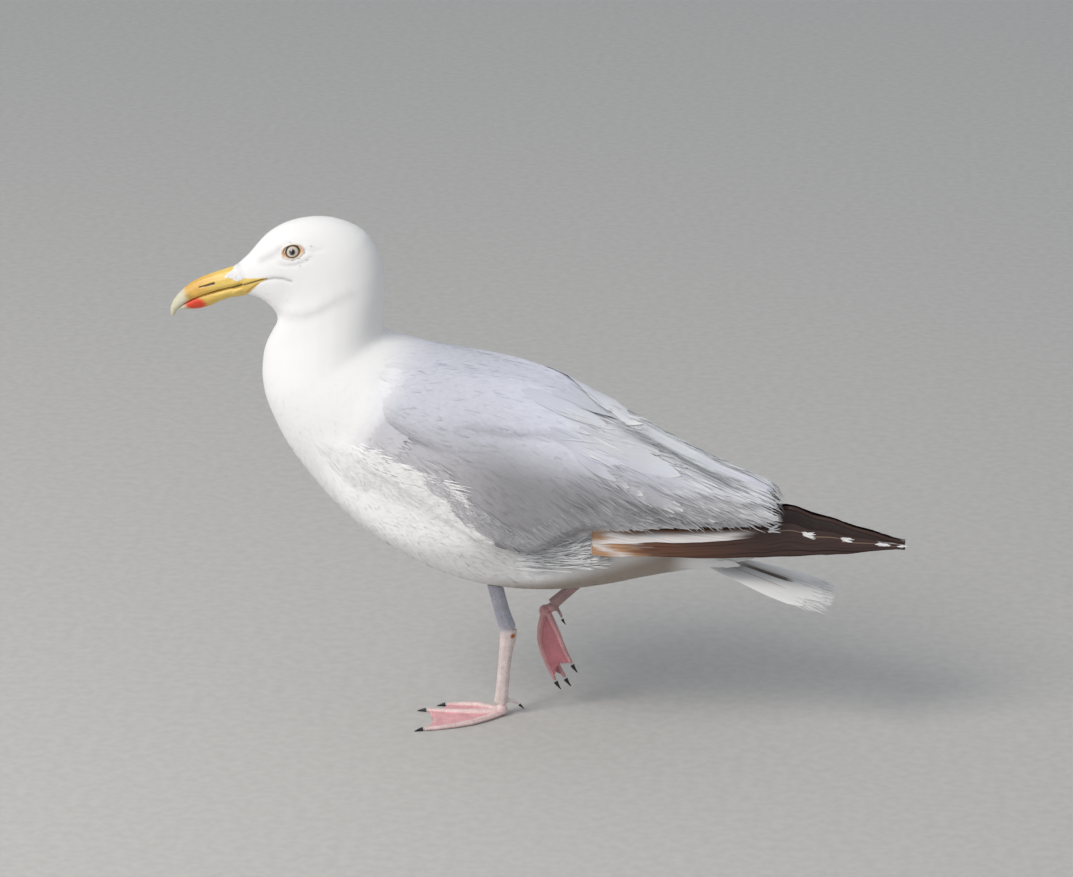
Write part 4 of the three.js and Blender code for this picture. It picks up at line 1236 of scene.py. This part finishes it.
def primary_colour(points, vane, side):
    """Bleached at the base and along the upper edge, brown, then almost black, with white tips."""
    x, z = points[..., 0], points[..., 2]
    wave = 5 * np.sin(z * 1.1 + vane[..., 2] * 9)
    worn = smooth_step(-(x + 1.5 * wave), -84, -68)
    patch = smooth_step(np.sin(x * 0.23 + z * 0.5) + 0.5, 0.6, 1.2)
    upper = smooth_step(-vane[..., 0] * side, -0.1, 0.5) * (vane[..., 2] == OUTERMOST_MARK)
    bleached = upper * soft_band(x + wave, 46, 58, 140, 165) + 0.8 * worn * patch
    tint = blend(BROWN_VANE, DARK_VANE, smooth_step(x + wave, 70, 175))
    tint = blend(tint, WORN_VANE, worn)
    tint = blend(tint, BLEACHED_VANE, np.clip(bleached, 0, 1))
    return blend(tint, WHITE, smooth_step(vane[..., 1], 0.975, 0.99))


def add_vane_bed(name, surface, size, counts, depths, material, colour_of):
    """A thin closed sheet under the vanes of a surface. size is how far along and across it goes,
    counts are its points each way, and depths those of its two faces."""
    rows, columns = counts
    at = np.linspace(0, size[0], rows)[:, None] * np.ones(columns)
    across = np.linspace(-size[1], size[1], columns) * np.ones((rows, 1))
    points, normal = surface.read(at, across), surface.read(at, across, surface.normal)
    shell = np.concatenate([(points - depths[0] * normal)[:, ::-1], points - depths[1] * normal], 1)[None]
    # Each point counts as half way across a vane, so that no shaft is drawn on the bed
    vane = np.broadcast_to((0.5, 0.0, 0.0), shell.shape)
    own = sheet_map(np.linspace(0.02, 0.98, rows), np.linspace(0.02, 0.5, 2 * columns))
    return build(name, shell, material, colour_of(shell, vane), own, vane)


def add_split_barbs(name, material, column, draw, *laid):
    """Split white barbs at the ends of vanes. column is where they are on the coat's map."""
    rings, vane, facing, _ = feathers(*laid)
    place = np.stack([np.full(len(rings), column), 0.05 + 0.9 * draw.uniform(size=len(rings))], -1)
    return build(name, rings, material, WHITE, place, vane, facing)


def add_primaries(name, side, seed):
    """Five long vanes over a dark bed, and the split barbs of their white tips."""
    span = PRIMARY_BACK - PRIMARY_FRONT
    block = outer_face("primaries_" + name, np.linspace(PRIMARY_FRONT, PRIMARY_BACK, 64), PRIMARY_LEAN, side)
    angle = -side * PRIMARY_ROOT_PLACE
    steps = ((PRIMARY_TIPS - PRIMARY_FRONT) / span, -side * (PRIMARY_TIP_PLACE - PRIMARY_ROOT_PLACE))
    stops = np.concatenate([np.linspace(0, 0.9, 19), [0.93, 0.955, 0.975, 0.99, 1.0]])
    widths = np.interp(stops, [0, 0.05, 0.6, 0.85, 0.95, 0.985, 1], [0.7, 1, 1, 0.8, 0.5, 0.25, 0.04])
    rings, vane, facing, _ = feathers(
        block, np.zeros(PRIMARIES), angle, steps, PRIMARY_HALF_WIDTH, PRIMARY_LIFT - 0.4, PRIMARY_LIFT, seed,
        stops=stops, widths=widths, rise=0.10, columns=13, under=0.5,
    )
    marked = vane.copy()
    marked[0, ..., 2] = OUTERMOST_MARK
    place = np.array([[0.9, 0.1 + 0.15 * n] for n in range(len(rings))])
    colour = primary_colour(rings, marked, side)
    coat = build("primaries_coat_" + name, rings, dark_vane, colour, place, vane, facing, patch=0.09)
    bed = add_vane_bed("primaries_bed_" + name, block, (1, 0.98), (60, 12), (1.0, 4.0), dark_vane,
                       lambda points, flat: primary_colour(points, flat, side))
    draw = chance(seed + 3)
    per = 14
    t = draw.uniform(0.965, 0.99, (PRIMARIES, per))
    edge = draw.uniform(-1, 1, (PRIMARIES, per))
    tip_ring = (steps[0][:, None] * t).ravel()
    tip_angle = (angle[:, None] + steps[1][:, None] * t + 0.12 * edge).ravel()
    reach = draw.uniform(4, 7.5, tip_ring.shape) / span
    fan = (edge * draw.uniform(0.05, 0.3, edge.shape)).ravel()
    lift = np.repeat(PRIMARY_LIFT, per)
    barbs = add_split_barbs(
        "primaries_tips_" + name, loose_barbs, 0.95, draw, block, tip_ring, tip_angle, (reach, fan),
        draw.uniform(0.3, 0.5, lift.shape), lift + 0.3, lift + draw.uniform(0.4, 1.2, lift.shape), seed + 4,
    )
    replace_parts(bed, "primaries_" + name)


dark_vane = flight_feather("worn_primary_vane", 0.78, 1.2, 0.42)
for number, (name, side) in enumerate(SIDES.items()):
    add_primaries(name, side, 400 + 10 * number)

# ---------------------------------------------------------------------------
# Tail
# Twelve white tail feathers in a half-closed fan, stiff vanes on their shafts,
# the middle pair on top. Along the gap between the two halves their inner edges
# carry a painted shadow, and their ends split.
# ---------------------------------------------------------------------------
TAIL_FEATHERS = 12
TAIL_HALF_WIDTH = 9.5
TAIL_ROOT = np.array([94.0, 5.0, 146.0])
TAIL_SLOPE = math.radians(17.4)
TAIL_YAW = math.radians(-5)
TAIL_HALF_FAN = math.radians(14.5)
TAIL_ARCH = 3.0
TAIL_REACH = 124.0
TAIL_SPREAD = 0.86
TAIL_WHITE = np.array(linear("#f4f3f0"))
GAP_SHADOW_BROWN = linear("#523628")


def tail_sheet():
    """The fan as a surface. A ring runs out along the feathers, and an angle across them."""
    across = np.linspace(-1, 1, 41)[None, :]
    yaw = TAIL_YAW + TAIL_HALF_FAN * across
    run = 6 + np.linspace(0, TAIL_REACH, 60)[:, None]
    x = TAIL_ROOT[0] + run * np.cos(yaw) * math.cos(TAIL_SLOPE)
    y = TAIL_ROOT[1] + run * np.sin(yaw) + 6 * across
    z = TAIL_ROOT[2] - run * math.sin(TAIL_SLOPE) - TAIL_ARCH * np.abs(across) ** 1.5
    return Surface(np.stack(np.broadcast_arrays(x, y, z), -1), 1.0, 1.0, False)


def add_tail():
    """Twelve vanes over a thin bed, with loose barbs at their ends."""
    sheet = tail_sheet()
    share = np.linspace(-1, 1, TAIL_FEATHERS)
    middle = 1 - np.abs(share)
    lift = 0.3 + middle * 1.8
    reach = 0.90 + 0.06 * middle + chance(505).uniform(-0.05, 0.04, TAIL_FEATHERS) - 0.05 * (share < -0.7)
    stops = np.concatenate([np.linspace(0, 0.84, 14), [0.9, 0.94, 0.97, 0.99, 1.0]])
    widths = np.interp(stops, [0, 0.3, 0.75, 0.9, 0.97, 1], [0.3, 0.6, 1, 0.85, 0.5, 0.1])
    rings, vane, facing, _ = feathers(
        sheet, np.full(TAIL_FEATHERS, 0.01), share * TAIL_SPREAD, (reach, np.zeros(TAIL_FEATHERS)),
        np.full(TAIL_FEATHERS, TAIL_HALF_WIDTH), middle * 0.4 - 0.6, lift, 500,
        stops=stops, widths=widths, rise=0.08, columns=11, under=0.5,
    )
    place = np.array([[0.86, 0.04 + 0.08 * n] for n in range(len(rings))])
    # The inner feathers are painted dark brown along the gap between the two halves, as painted shadow in
    # the gap
    inner = np.abs(share - 0.1)[:, None, None] < 0.1
    worn = inner * soft_band(vane[..., 1], 0.42, 0.55, 0.76, 0.86) * smooth_step(vane[..., 0], 0.1, 0.5)
    colour = blend(TAIL_WHITE, GAP_SHADOW_BROWN, worn)
    coat = build("tail_feathers", rings, tail_vane, colour, place, vane, facing, patch=0.06)
    # The bed is painted a little darker than the vanes, as painted shade under them
    bed = add_vane_bed("tail_bed", sheet, (0.84, 0.93), (50, 16), (0.6, 1.8), tail_vane,
                       lambda points, flat: TAIL_WHITE * 0.9)
    draw = chance(510)
    per = 34
    tip = draw.uniform(0.74, 0.99, (TAIL_FEATHERS, per))
    edge = draw.uniform(-1, 1, tip.shape) * (1.15 - 0.9 * smooth_step(tip, 0.9, 1.0))
    tip_ring = (0.01 + reach[:, None] * tip).ravel()
    tip_angle = (share[:, None] * TAIL_SPREAD + 0.19 * edge).ravel()
    far = np.minimum(draw.uniform(9, 24, tip_ring.shape) / TAIL_REACH, 1.03 - tip_ring)
    lift = np.repeat(lift, per)
    barbs = add_split_barbs(
        "tail_barbs", smooth_white, 0.97, draw, sheet, tip_ring, tip_angle, (far, (edge * 0.03).ravel()),
        draw.uniform(0.35, 0.7, lift.shape), lift - 0.4, lift + draw.uniform(-0.5, 0.5, lift.shape), 511,
    )
    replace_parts(bed, "tail")


tail_vane = flight_feather("white_tail_vane", 0.93, 1.0, 0.5)
add_tail()

# ---------------------------------------------------------------------------
# Eyes
# Glossy globes in the sockets, with a pale stony iris and a black pupil, set in
# bare ring skin. The ring's rim is dark brown, and its two corners are orange.
# ---------------------------------------------------------------------------
# Half the opening's length and height, and the share of the ring that has its shape
OPENING_LONG, OPENING_HIGH, OPENING_SHARE = 5.0, 3.7, 0.62
CORNEA_BULGE, CORNEA_ANGLE = 0.35, 26
# Farther out to one side than the head
BESIDE_HEAD = 60
CORNER_ORANGE = linear("#c98742")
# Share of the ring's outer ellipse, lift over the feathers or the globe, colour
LID_STATIONS = [
    (1.30, -0.9, "#eeebe7"), (1.14, 0.1, "#eeebe6"), (1.03, 0.35, "#e9e2d9"), (0.93, 0.5, "#e4d5c2"),
    (0.84, 0.55, "#d8bd9b"), (0.76, 0.65, "#bb8f62"), (0.70, 0.75, "#7c4c2a"), (0.66, 0.7, "#3d2415"),
    (0.62, 0.35, "#23130b"), (0.585, -0.15, "#1b0f09"), (0.53, -0.9, "#1b0f09"),
]
# Share of a right angle from the pupil's middle, and colour: pupil, iris, its rim, then dark
IRIS_STOPS = [
    (0.0, "#050505"), (0.18, "#060606"), (0.195, "#6f6248"), (0.23, "#bbb1a3"), (0.34, "#d3ccc2"),
    (0.41, "#a89c8b"), (0.455, "#6c5a45"), (0.475, "#241811"), (1.0, "#120c09"),
]


def eyeball_finish():
    """Wet cornea over the iris: one smooth glossy face, its colours set by the angle from the pupil."""
    material, tree = new_material("wet_eye")
    lie = add_node(tree, "Attribute", {"attribute_name": "vane"}).outputs["Vector"]
    parts = add_node(tree, "SeparateXYZ", Vector=lie).outputs
    turn = add_node(tree, "Math", {"operation": "MULTIPLY"}, Value=parts["X"], Value_001=14.0)
    around = add_node(tree, "CombineXYZ", X=turn, Y=parts["Y"], Z=parts["Z"])
    fibres = add_node(tree, "TexNoise", Vector=around, Scale=3.0, Detail=4.0)
    stray = add_node(
        tree, "Math", {"operation": "MULTIPLY_ADD"}, Value=fibres, Value_001=0.03, Value_002=parts["Y"],
    )
    iris = set_ramp(add_node(tree, "ValToRGB", Fac=stray), IRIS_STOPS)
    vary = add_node(tree, "MapRange", Value=fibres, From_Min=0.3, From_Max=0.7, To_Min=0.82, To_Max=1.08)
    return finish_material(material, iris, vary, Roughness=0.1, Coat_Weight=0.35, Coat_Roughness=0.03)


def bare_skin(name, cell, depth, roughness):
    """Bare skin: fine pebbled wrinkles, a slight waxy shine and uneven colour. cell and depth are
    a pebble's width and height in millimetres."""
    material, tree = new_material(name)
    tint = add_node(tree, "Attribute", {"attribute_name": "tint"})
    where = add_node(tree, "TexCoord").outputs["Object"]
    pebbles = add_node(tree, "TexVoronoi", Vector=where, Scale=1 / (cell * MM))
    mottle = add_node(tree, "TexNoise", Vector=where, Scale=0.2 / (cell * MM), Detail=5.0)
    height = add_node(
        tree, "Math", {"operation": "MULTIPLY_ADD"}, Value=pebbles, Value_001=-0.8, Value_002=mottle,
    )
    bump = add_node(tree, "Bump", Height=height, Distance=depth * MM, Strength=0.8)
    edge = add_node(tree, "MapRange", Value=pebbles, From_Min=0.2, From_Max=0.8, To_Min=1.04, To_Max=0.86)
    cloud = add_node(tree, "MapRange", Value=mottle, From_Min=0.3, From_Max=0.7, To_Min=0.86, To_Max=1.08)
    shade = add_node(tree, "Math", {"operation": "MULTIPLY"}, Value=edge, Value_001=cloud)
    return finish_material(
        material, tint, shade, Roughness=roughness, Normal=bump, Subsurface_Weight=0.06,
        Subsurface_Scale=0.002,
    )


def head_tree():
    """The head's feathered surface as a search tree."""
    rings, columns = 110, body_coat.points.shape[1] - 1
    corners = [Vector(p) for p in body_coat.points[:rings, :-1].reshape(-1, 3)]
    return BVHTree.FromPolygons(corners, [
        (i * columns + j, i * columns + (j + 1) % columns, (i + 1) * columns + (j + 1) % columns,
         (i + 1) * columns + j)
        for i, j in np.ndindex(rings - 1, columns)
    ])


def add_eyeball(name, side, centre):
    """A globe with its cornea. Its vane is the turn about the look and the angle from the pupil."""
    look = EYE_LOOK * (1, side, 1)
    first = unit(np.cross(look, (0, 0, 1.0)))
    second = np.cross(look, first)
    turn = np.linspace(0, 2 * math.pi, 72, endpoint=False)[::-1]
    from_pupil = np.concatenate([np.linspace(0.6, 50, 70), np.linspace(54, 172, 24)])
    reach = EYE_RADIUS + CORNEA_BULGE * bell(from_pupil, CORNEA_ANGLE)
    out = np.cos(turn)[:, None] * first + np.sin(turn)[:, None] * second
    angle = np.radians(from_pupil)[:, None, None]
    globe = centre + reach[:, None, None] * (np.cos(angle) * look + np.sin(angle) * out)
    vane = np.stack(np.broadcast_arrays(np.abs(turn / math.pi - 1), (from_pupil / 90)[:, None], 0.0), -1)
    own = sheet_map(from_pupil / 180, turn / 7 + 0.02)[..., ::-1]
    eye = build("eyeball_" + name, globe[None], wet_eye, np.ones(3), own, vane[None])
    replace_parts(eye, "eye_" + name)


def add_eye_ring(name, side, centre):
    """The lids round the eye's opening, from over the feathers down onto the globe."""
    spin = np.linspace(0, 2 * math.pi, 84, endpoint=False)
    if side > 0:
        spin = spin[::-1]
    rows, tints = [], []
    for share, lift, colour in LID_STATIONS:
        narrow = smooth_step(-share, -0.95, -0.66)
        inner = share / OPENING_SHARE * narrow
        long = (LID_LONG * share * (1 - narrow) + OPENING_LONG * inner) * np.cos(spin)
        high = (LID_HIGH * share * (1 - narrow) + OPENING_HIGH * inner) * np.sin(spin)
        xs = EYE_SPOT[0] + long * math.cos(EYE_SLOPE) - high * math.sin(EYE_SLOPE)
        zs = EYE_SPOT[2] + long * math.sin(EYE_SLOPE) + high * math.cos(EYE_SLOPE)
        row = []
        for x, z in zip(xs, zs):
            feather = coat_tree.ray_cast(Vector((x, BESIDE_HEAD * side, z)), Vector((0, -side, 0)))[0]
            on_feather = abs(feather[1]) if feather is not None else 15.0
            inside = max(EYE_RADIUS ** 2 - (x - centre[0]) ** 2 - (z - centre[2]) ** 2, 0.5)
            on_globe = EYE_CENTRE[1] + math.sqrt(inside)
            row.append((x, side * (on_feather * (1 - narrow) + on_globe * narrow + lift), z))
        rows.append(row)
        corner = 0.55 * np.abs(np.cos(spin)) ** 4 * (0.7 < share < 1.05)
        tints.append(blend(linear(colour), CORNER_ORANGE, corner))
    own = sheet_map(np.linspace(0.1, 0.9, len(rows)), spin / 7 + 0.02)[..., ::-1]
    ring = build("eye_ring_" + name, np.array(rows)[None], lid_skin, np.array(tints)[None], own)


coat_tree = head_tree()
wet_eye = eyeball_finish()
lid_skin = bare_skin("bare_eye_ring", 0.7, 0.08, 0.5)
for name, side in SIDES.items():
    add_eyeball(name, side, EYE_CENTRE * (1, side, 1))
    add_eye_ring(name, side, EYE_CENTRE * (1, side, 1))

# ---------------------------------------------------------------------------
# Bill
# A yellow horn sheath over the jaw bones, hooked and ivory at the tip, with a
# slit nostril on each side and a red spot near the end of the lower half.
# ---------------------------------------------------------------------------
BILL_YELLOW = linear("#e3c265")
BILL_AMBER = linear("#d49f42")
BILL_IVORY = linear("#cfcbb0")
BILL_RED = linear("#e2492a")
BILL_DARK = linear("#5d4b33")
NOSTRIL_SHADOW_BLACK = linear("#2a2018")
NOSTRIL = [(-251, 333.2), (-246, 334.6), (-240, 336.6)]
RED_SPOT = (-254.6, 318.4, 9.4, 5.8)
GAPE_UPPER = [(-234, 340.6), (-222, 341.4), (-212, 343.0), (-202, 345.0), (-195, 346.6)]
GAPE_LOWER = [(-234, 329.5), (-224, 326.0), (-216, 331.5), (-208, 338.5), (-202, 342.3), (-195, 345.8)]
MOUTH_LINE = [(-234, 331.5), (-226, 333.8), (-214, 338.4), (-203, 343.4), (-195, 346.2)]
# Growth lines in the horn: their length, and their spacing across and upwards
HORN_LINES_MM = (20 / 3, 10 / 9, 10 / 7)
# The front of the feathers on the upper half: z, x
BILL_FEATHER_FRONT = [(340.5, -222), (341.5, -233), (348, -225)]


def add_smooth_copy(name, nodes, joined, voxel, rounds, material):
    """CAD nodes rounded off, in one piece that takes their place: the facets go and the outline
    stays. Gives the piece, its points in millimetres and their normals."""
    mesh = welded(joined, name, voxel, rounds)
    mesh.materials.clear()
    mesh.materials.append(material)
    piece = add_object(name, mesh)
    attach(piece, "root")
    for node in nodes:
        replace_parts(piece, node)
    points = np.empty(len(mesh.vertices) * 3, np.float32)
    mesh.vertices.foreach_get("co", points)
    normals = np.empty_like(points)
    mesh.vertex_normals.foreach_get("vector", normals)
    return piece, points.reshape(-1, 3).astype(float) / MM, normals.reshape(-1, 3).astype(float)


def finish_piece(piece, points, colour):
    """Puts moved points and their colours back on a piece."""
    piece.data.vertices.foreach_set("co", (points * MM).astype(np.float32).reshape(-1))
    paint(piece.data, colour)
    piece.data.update()


def horn(name, roughness):
    """Horn sheath: faint long growth lines, tiny scratches, and a soft waxy gloss."""
    material, tree = new_material(name)
    tint = add_node(tree, "Attribute", {"attribute_name": "tint"})
    where = add_node(tree, "TexCoord").outputs["Object"]
    per_metre = [1 / (size * MM) for size in HORN_LINES_MM]
    drawn = add_node(tree, "VectorMath", {"operation": "MULTIPLY"}, Vector=where, Vector_001=per_metre)
    lines = add_node(tree, "TexNoise", Vector=drawn, Scale=1.0, Detail=4.0)
    bump = add_node(tree, "Bump", Height=lines, Distance=0.0001, Strength=0.35)
    shade = add_node(tree, "MapRange", Value=lines, From_Min=0.3, From_Max=0.7, To_Min=0.9, To_Max=1.06)
    return finish_material(
        material, tint, shade, Roughness=roughness, Normal=bump, Subsurface_Weight=0.04,
        Subsurface_Scale=0.002,
    )


def add_bill(name, node, is_upper):
    """One half of the bill, with its colours laid over it by place."""
    piece, points, _ = add_smooth_copy(name, [node], joined_solids([node]), 0.5, 5, bill_horn)
    x, y, z = points.T
    amber = 0.75 * smooth_step(-x, 232, 256) * (0.6 + 0.4 * is_upper)
    colour = blend(BILL_YELLOW, BILL_AMBER, amber)
    colour = blend(colour, BILL_IVORY, smooth_step(-x - 0.35 * (z - 322), 256.5, 263.5))
    moved = points.copy()
    if is_upper:
        slit, share, _ = path_distance(points, NOSTRIL)
        deep = bell(slit, 0.35 + 0.4 * share) * (np.abs(y) > 2)
        moved[:, 1] -= np.sign(y) * 1.1 * deep
        # The slit is painted near-black, as painted shade in its depth
        colour = blend(colour, NOSTRIL_SHADOW_BLACK, np.clip(1.6 * deep, 0, 1))
        colour = blend(colour, BILL_DARK, 0.35 * bell(np.hypot((x + 259) / 3.5, (z - 326) / 2.2), 1))
        # White under the feathers that reach over it
        colour = blend(colour, WHITE, smooth_step(x, -226, -223) * smooth_step(z, 341, 343))
    else:
        spot_x, spot_z, wide, high = RED_SPOT
        from_spot = np.hypot((x - spot_x) / wide, (z - spot_z) / high)
        colour = blend(colour, BILL_RED, smooth_step(-from_spot, -1.15, -0.55))
        moved[:, 0] += 4.0 * smooth_step(x, -229, -223)
        moved[:, 2] += 0.6 + 1.0 * smooth_step(-moved[:, 0], 240, 258)
    finish_piece(piece, moved, colour)


def add_gape(name, side):
    """The bare yellow skin of the mouth's corner, that runs back from both halves to a point."""
    walls = [measured_solid([node]) for node in ("upper_bill", "lower_bill")] + [coat_tree]
    xs = np.linspace(-231, -196, 64)
    upper, lower, mouth = (np.interp(xs, *zip(*line)) for line in (GAPE_UPPER, GAPE_LOWER, MOUTH_LINE))
    shares = np.linspace(0, 1, 33)
    z = lower[:, None] + (upper - lower)[:, None] * shares
    reach = np.zeros(z.shape)
    for (i, j), height in np.ndenumerate(z):
        origin = Vector((xs[i], BESIDE_HEAD * side, height))
        hits = [wall.ray_cast(origin, Vector((0, -side, 0)), BESIDE_HEAD)[3] for wall in walls]
        reach[i, j] = max((BESIDE_HEAD - hit for hit in hits if hit is not None), default=np.nan)
    reach = soften(np.stack([fill_row(row) for row in reach]), 6, False)
    gap = np.abs(z - mouth[:, None])
    groove = bell(gap, 0.55)
    ends = soft_band(xs, -231, -224, -199, -196)[:, None]
    rim = 0.75 * np.sin(np.pi * shares) ** 0.5 - 0.2 - 0.55 * groove
    outer = reach + rim * ends - 0.5 * (1 - ends)
    faces = [np.stack(np.broadcast_arrays(xs[:, None], side * y, z), -1) for y in (outer, reach - 1.8)]
    shell = np.concatenate([faces[0][:, ::-1], faces[1]], 1)[None]
    # Painted shade: the gape is darker near the mouth line, and darkest in its groove
    tone = np.asarray(BILL_YELLOW) * (1 - 0.12 * smooth_step(-gap, -3, 0))[..., None]
    tone = blend(tone, BILL_DARK, np.clip(groove * 1.1, 0, 0.9))
    tone = np.concatenate([tone[:, ::-1], tone], 1)[None]
    if side > 0:
        shell, tone = shell[:, :, ::-1], tone[:, :, ::-1]
    own = sheet_map(np.linspace(0.02, 0.98, 64), np.linspace(0.02, 0.98, 66))
    build(name, shell, bill_horn, tone, own)


def add_short_feathers(name, base, ring, angle, steps, half_width, high, seed, calm):
    """Short white feathers round the bill's root. Their own map is a corner of the coat's."""
    rings, vane, facing, place = feathers(
        base, ring, angle, steps, half_width, -0.1, high, seed, rise=0.08, calm=calm,
    )
    build(name, rings, smooth_white, WHITE, place * 0.02, vane, facing)


def add_bill_feathers(name, side):
    """The point of short feathers that reaches forward over the side of the upper half."""
    base = outer_face("upper_bill", np.linspace(-237, -220, 34), math.radians(20), side)
    draw = chance(600)
    ring, angle = draw.uniform(0, 1.05, 3000), draw.uniform(-0.98, 0.98, 3000)
    x, _, z = base.read(ring, angle).T
    kept = (x > np.interp(z, *zip(*BILL_FEATHER_FRONT))) & (z > BILL_FEATHER_FRONT[0][0])
    ring, angle, x = ring[kept], angle[kept], x[kept]
    count = len(ring)
    behind = smooth_step(x, -229, -223)
    length = draw.uniform(2.6, 4.4, count) + 2.2 * behind
    high = draw.uniform(0.3, 0.6, count) + 1.2 * behind
    steps = lie_steps(base, ring, angle, length, draw.normal(0, 0.12, count))
    add_short_feathers(name, base, ring, angle, steps, draw.uniform(0.45, 0.7, count), high, 601, 0.9)


def add_brow_feathers(name):
    """Short feathers that carry the coat of the forehead down onto the bill."""
    ahead, turn = np.meshgrid(np.linspace(-0.42, 0.6, 35), np.linspace(-1.3, 1.3, 61), indexing="ij")
    edge = body_coat.read(np.zeros_like(ahead), turn)
    rise = (body_coat.read(np.full_like(ahead, 0.12), turn) - edge) / 0.12
    over = body_coat.read(np.maximum(ahead, 0), turn)
    base = Surface(over + rise * np.minimum(ahead, 0)[..., None], 1.02, 1.3, False)
    draw = chance(610)
    count = 2200
    ring, angle = draw.uniform(0.04, 0.5, count), draw.uniform(-1.28, 1.28, count)
    steps = lie_steps(base, ring, angle, draw.uniform(2.6, 4.0, count), draw.normal(0, 0.1, count))
    half_width = draw.uniform(0.45, 0.7, count)
    high = draw.uniform(0.2, 0.4, count) * (1 - 0.8 * smooth_step(ring, 0.2, 0.48))
    add_short_feathers(name, base, ring, angle, steps, half_width, high, 611, 0.94)


bill_horn = horn("bill_horn", 0.38)
add_brow_feathers("brow_feathers")
add_bill("bill_upper", "upper_bill", True)
add_bill("bill_lower", "lower_bill", False)
for name, side in SIDES.items():
    add_bill_feathers("bill_feathers_" + name, side)
    add_gape("gape_" + name, side)

# ---------------------------------------------------------------------------
# Legs and feet
# Bare scaly skin over bone, flesh pink, with deeper pink webs between the three
# front toes and a small worn sore at the standing ankle. The left tibia is painted
# darker and bluish, and the right leg darker, as painted shade.
# ---------------------------------------------------------------------------
# Painted shade: the left shank is darker and bluish under the body, and the raised right leg is darker all
# over. The right web's deeper red is partly the sole's own colour and partly painted shade
LEG_COLOURS = {
    "shank_left": "#a9a9b4", "tarsus_left": "#dccdc9", "foot_left": "#e7cdc9",
    "tarsus_right": "#a98a87", "foot_right": "#c99595",
}
WEB_COLOURS = {"left": "#e5a2a6", "right": "#ad6670"}
SORE_COLOUR = linear("#a8561f")
SORE_PLACE = np.array([-18.9, -2.5, 65.3])
KNUCKLE_RADIUS = 3.6
# Flesh is measured no deeper than this
THICKEST = 6.0
leg_skin = bare_skin("scaly_leg_skin", 1.4, 0.22, 0.46)


def add_knuckles(joined, node, after):
    """Round joints where one node comes nearest the next."""
    tree = measured_solid([after])
    corners = [vertex.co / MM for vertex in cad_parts[node].data.vertices]
    nearest = sorted(corners, key=lambda corner: tree.find_nearest(corner)[3])[:6]
    middle = sum(nearest, Vector()) / len(nearest)
    for share in (0.1, 0.5, 0.9):
        spot = Matrix.Translation(middle.lerp(tree.find_nearest(middle)[0], share) * MM)
        bmesh.ops.create_icosphere(joined, subdivisions=3, radius=KNUCKLE_RADIUS * MM, matrix=spot)


def evened(piece, points, share, rounds):
    """Points drawn towards the middle of their neighbours, by a share of 0 to 1 each."""
    ends = np.empty(len(piece.data.edges) * 2, np.int32)
    piece.data.edges.foreach_get("vertices", ends)
    first, second = ends.reshape(-1, 2).T
    count = np.bincount(ends, minlength=len(points))[:, None]
    for _ in range(rounds):
        total = np.zeros_like(points)
        for axis in range(3):
            total[:, axis] += np.bincount(first, points[second, axis], len(points))
            total[:, axis] += np.bincount(second, points[first, axis], len(points))
        points = points + 0.6 * share[:, None] * (total / count - points)
    return points


def add_leg(name, nodes, voxel):
    """A leg in one skin, coloured by its parts and by how thin the webs are."""
    joined = joined_solids(nodes)
    if name == "right":
        add_knuckles(joined, *nodes)
    piece, points, normals = add_smooth_copy("leg_" + name, nodes, joined, voxel, 4, leg_skin)
    near = np.zeros((len(points), 1))
    colour = np.zeros((len(points), 4))
    for node in nodes:
        tree = measured_solid([node])
        gap = np.array([tree.find_nearest(Vector(p))[3] for p in points])
        weight = np.exp(-gap / 1.2)[:, None] + 1e-6
        near += weight
        colour += weight * np.array(linear(LEG_COLOURS[node]))
    foot = measured_solid(["foot_" + name])
    thin = np.full(len(points), THICKEST)
    for n, (point, normal) in enumerate(zip(points, normals)):
        hit = foot.ray_cast(Vector(point - 0.15 * normal), Vector(-normal), THICKEST)
        if hit[3] is not None:
            thin[n] = hit[3]
    web = smooth_step(-thin, -3.2, -1.6)
    colour = blend(colour / near, linear(WEB_COLOURS[name]), 0.85 * web)
    if name == "left":
        sore = smooth_step(-np.linalg.norm(points - SORE_PLACE, axis=1), -3.4, -1.4)
        colour = blend(colour, SORE_COLOUR, sore)
    points = evened(piece, points, (1 - web) * smooth_step(points[:, 2], 4, 10), 14)
    finish_piece(piece, points, colour)


add_leg("left", ["shank_left", "tarsus_left", "foot_left"], 0.45)
add_leg("right", ["tarsus_right", "foot_right"], 0.4)

# ---------------------------------------------------------------------------
# Claws
# Short curved claws of black horn at the end of each toe, grown over the bone.
# Each is smoothed on its own, finely enough to keep its point.
# ---------------------------------------------------------------------------
CLAW_BLACK = np.array(linear("#1d1917"))
claw_horn = horn("claw_horn", 0.3)
for name in SIDES:
    for toe in ("hind", "inner", "middle", "outer"):
        node = f"claw_{name}_{toe}"
        piece, points, _ = add_smooth_copy(
            f"claw_{toe}_{name}_horn", [node], joined_solids([node]), 0.22, 3, claw_horn,
        )
        finish_piece(piece, points, np.tile(CLAW_BLACK, (len(points), 1)))
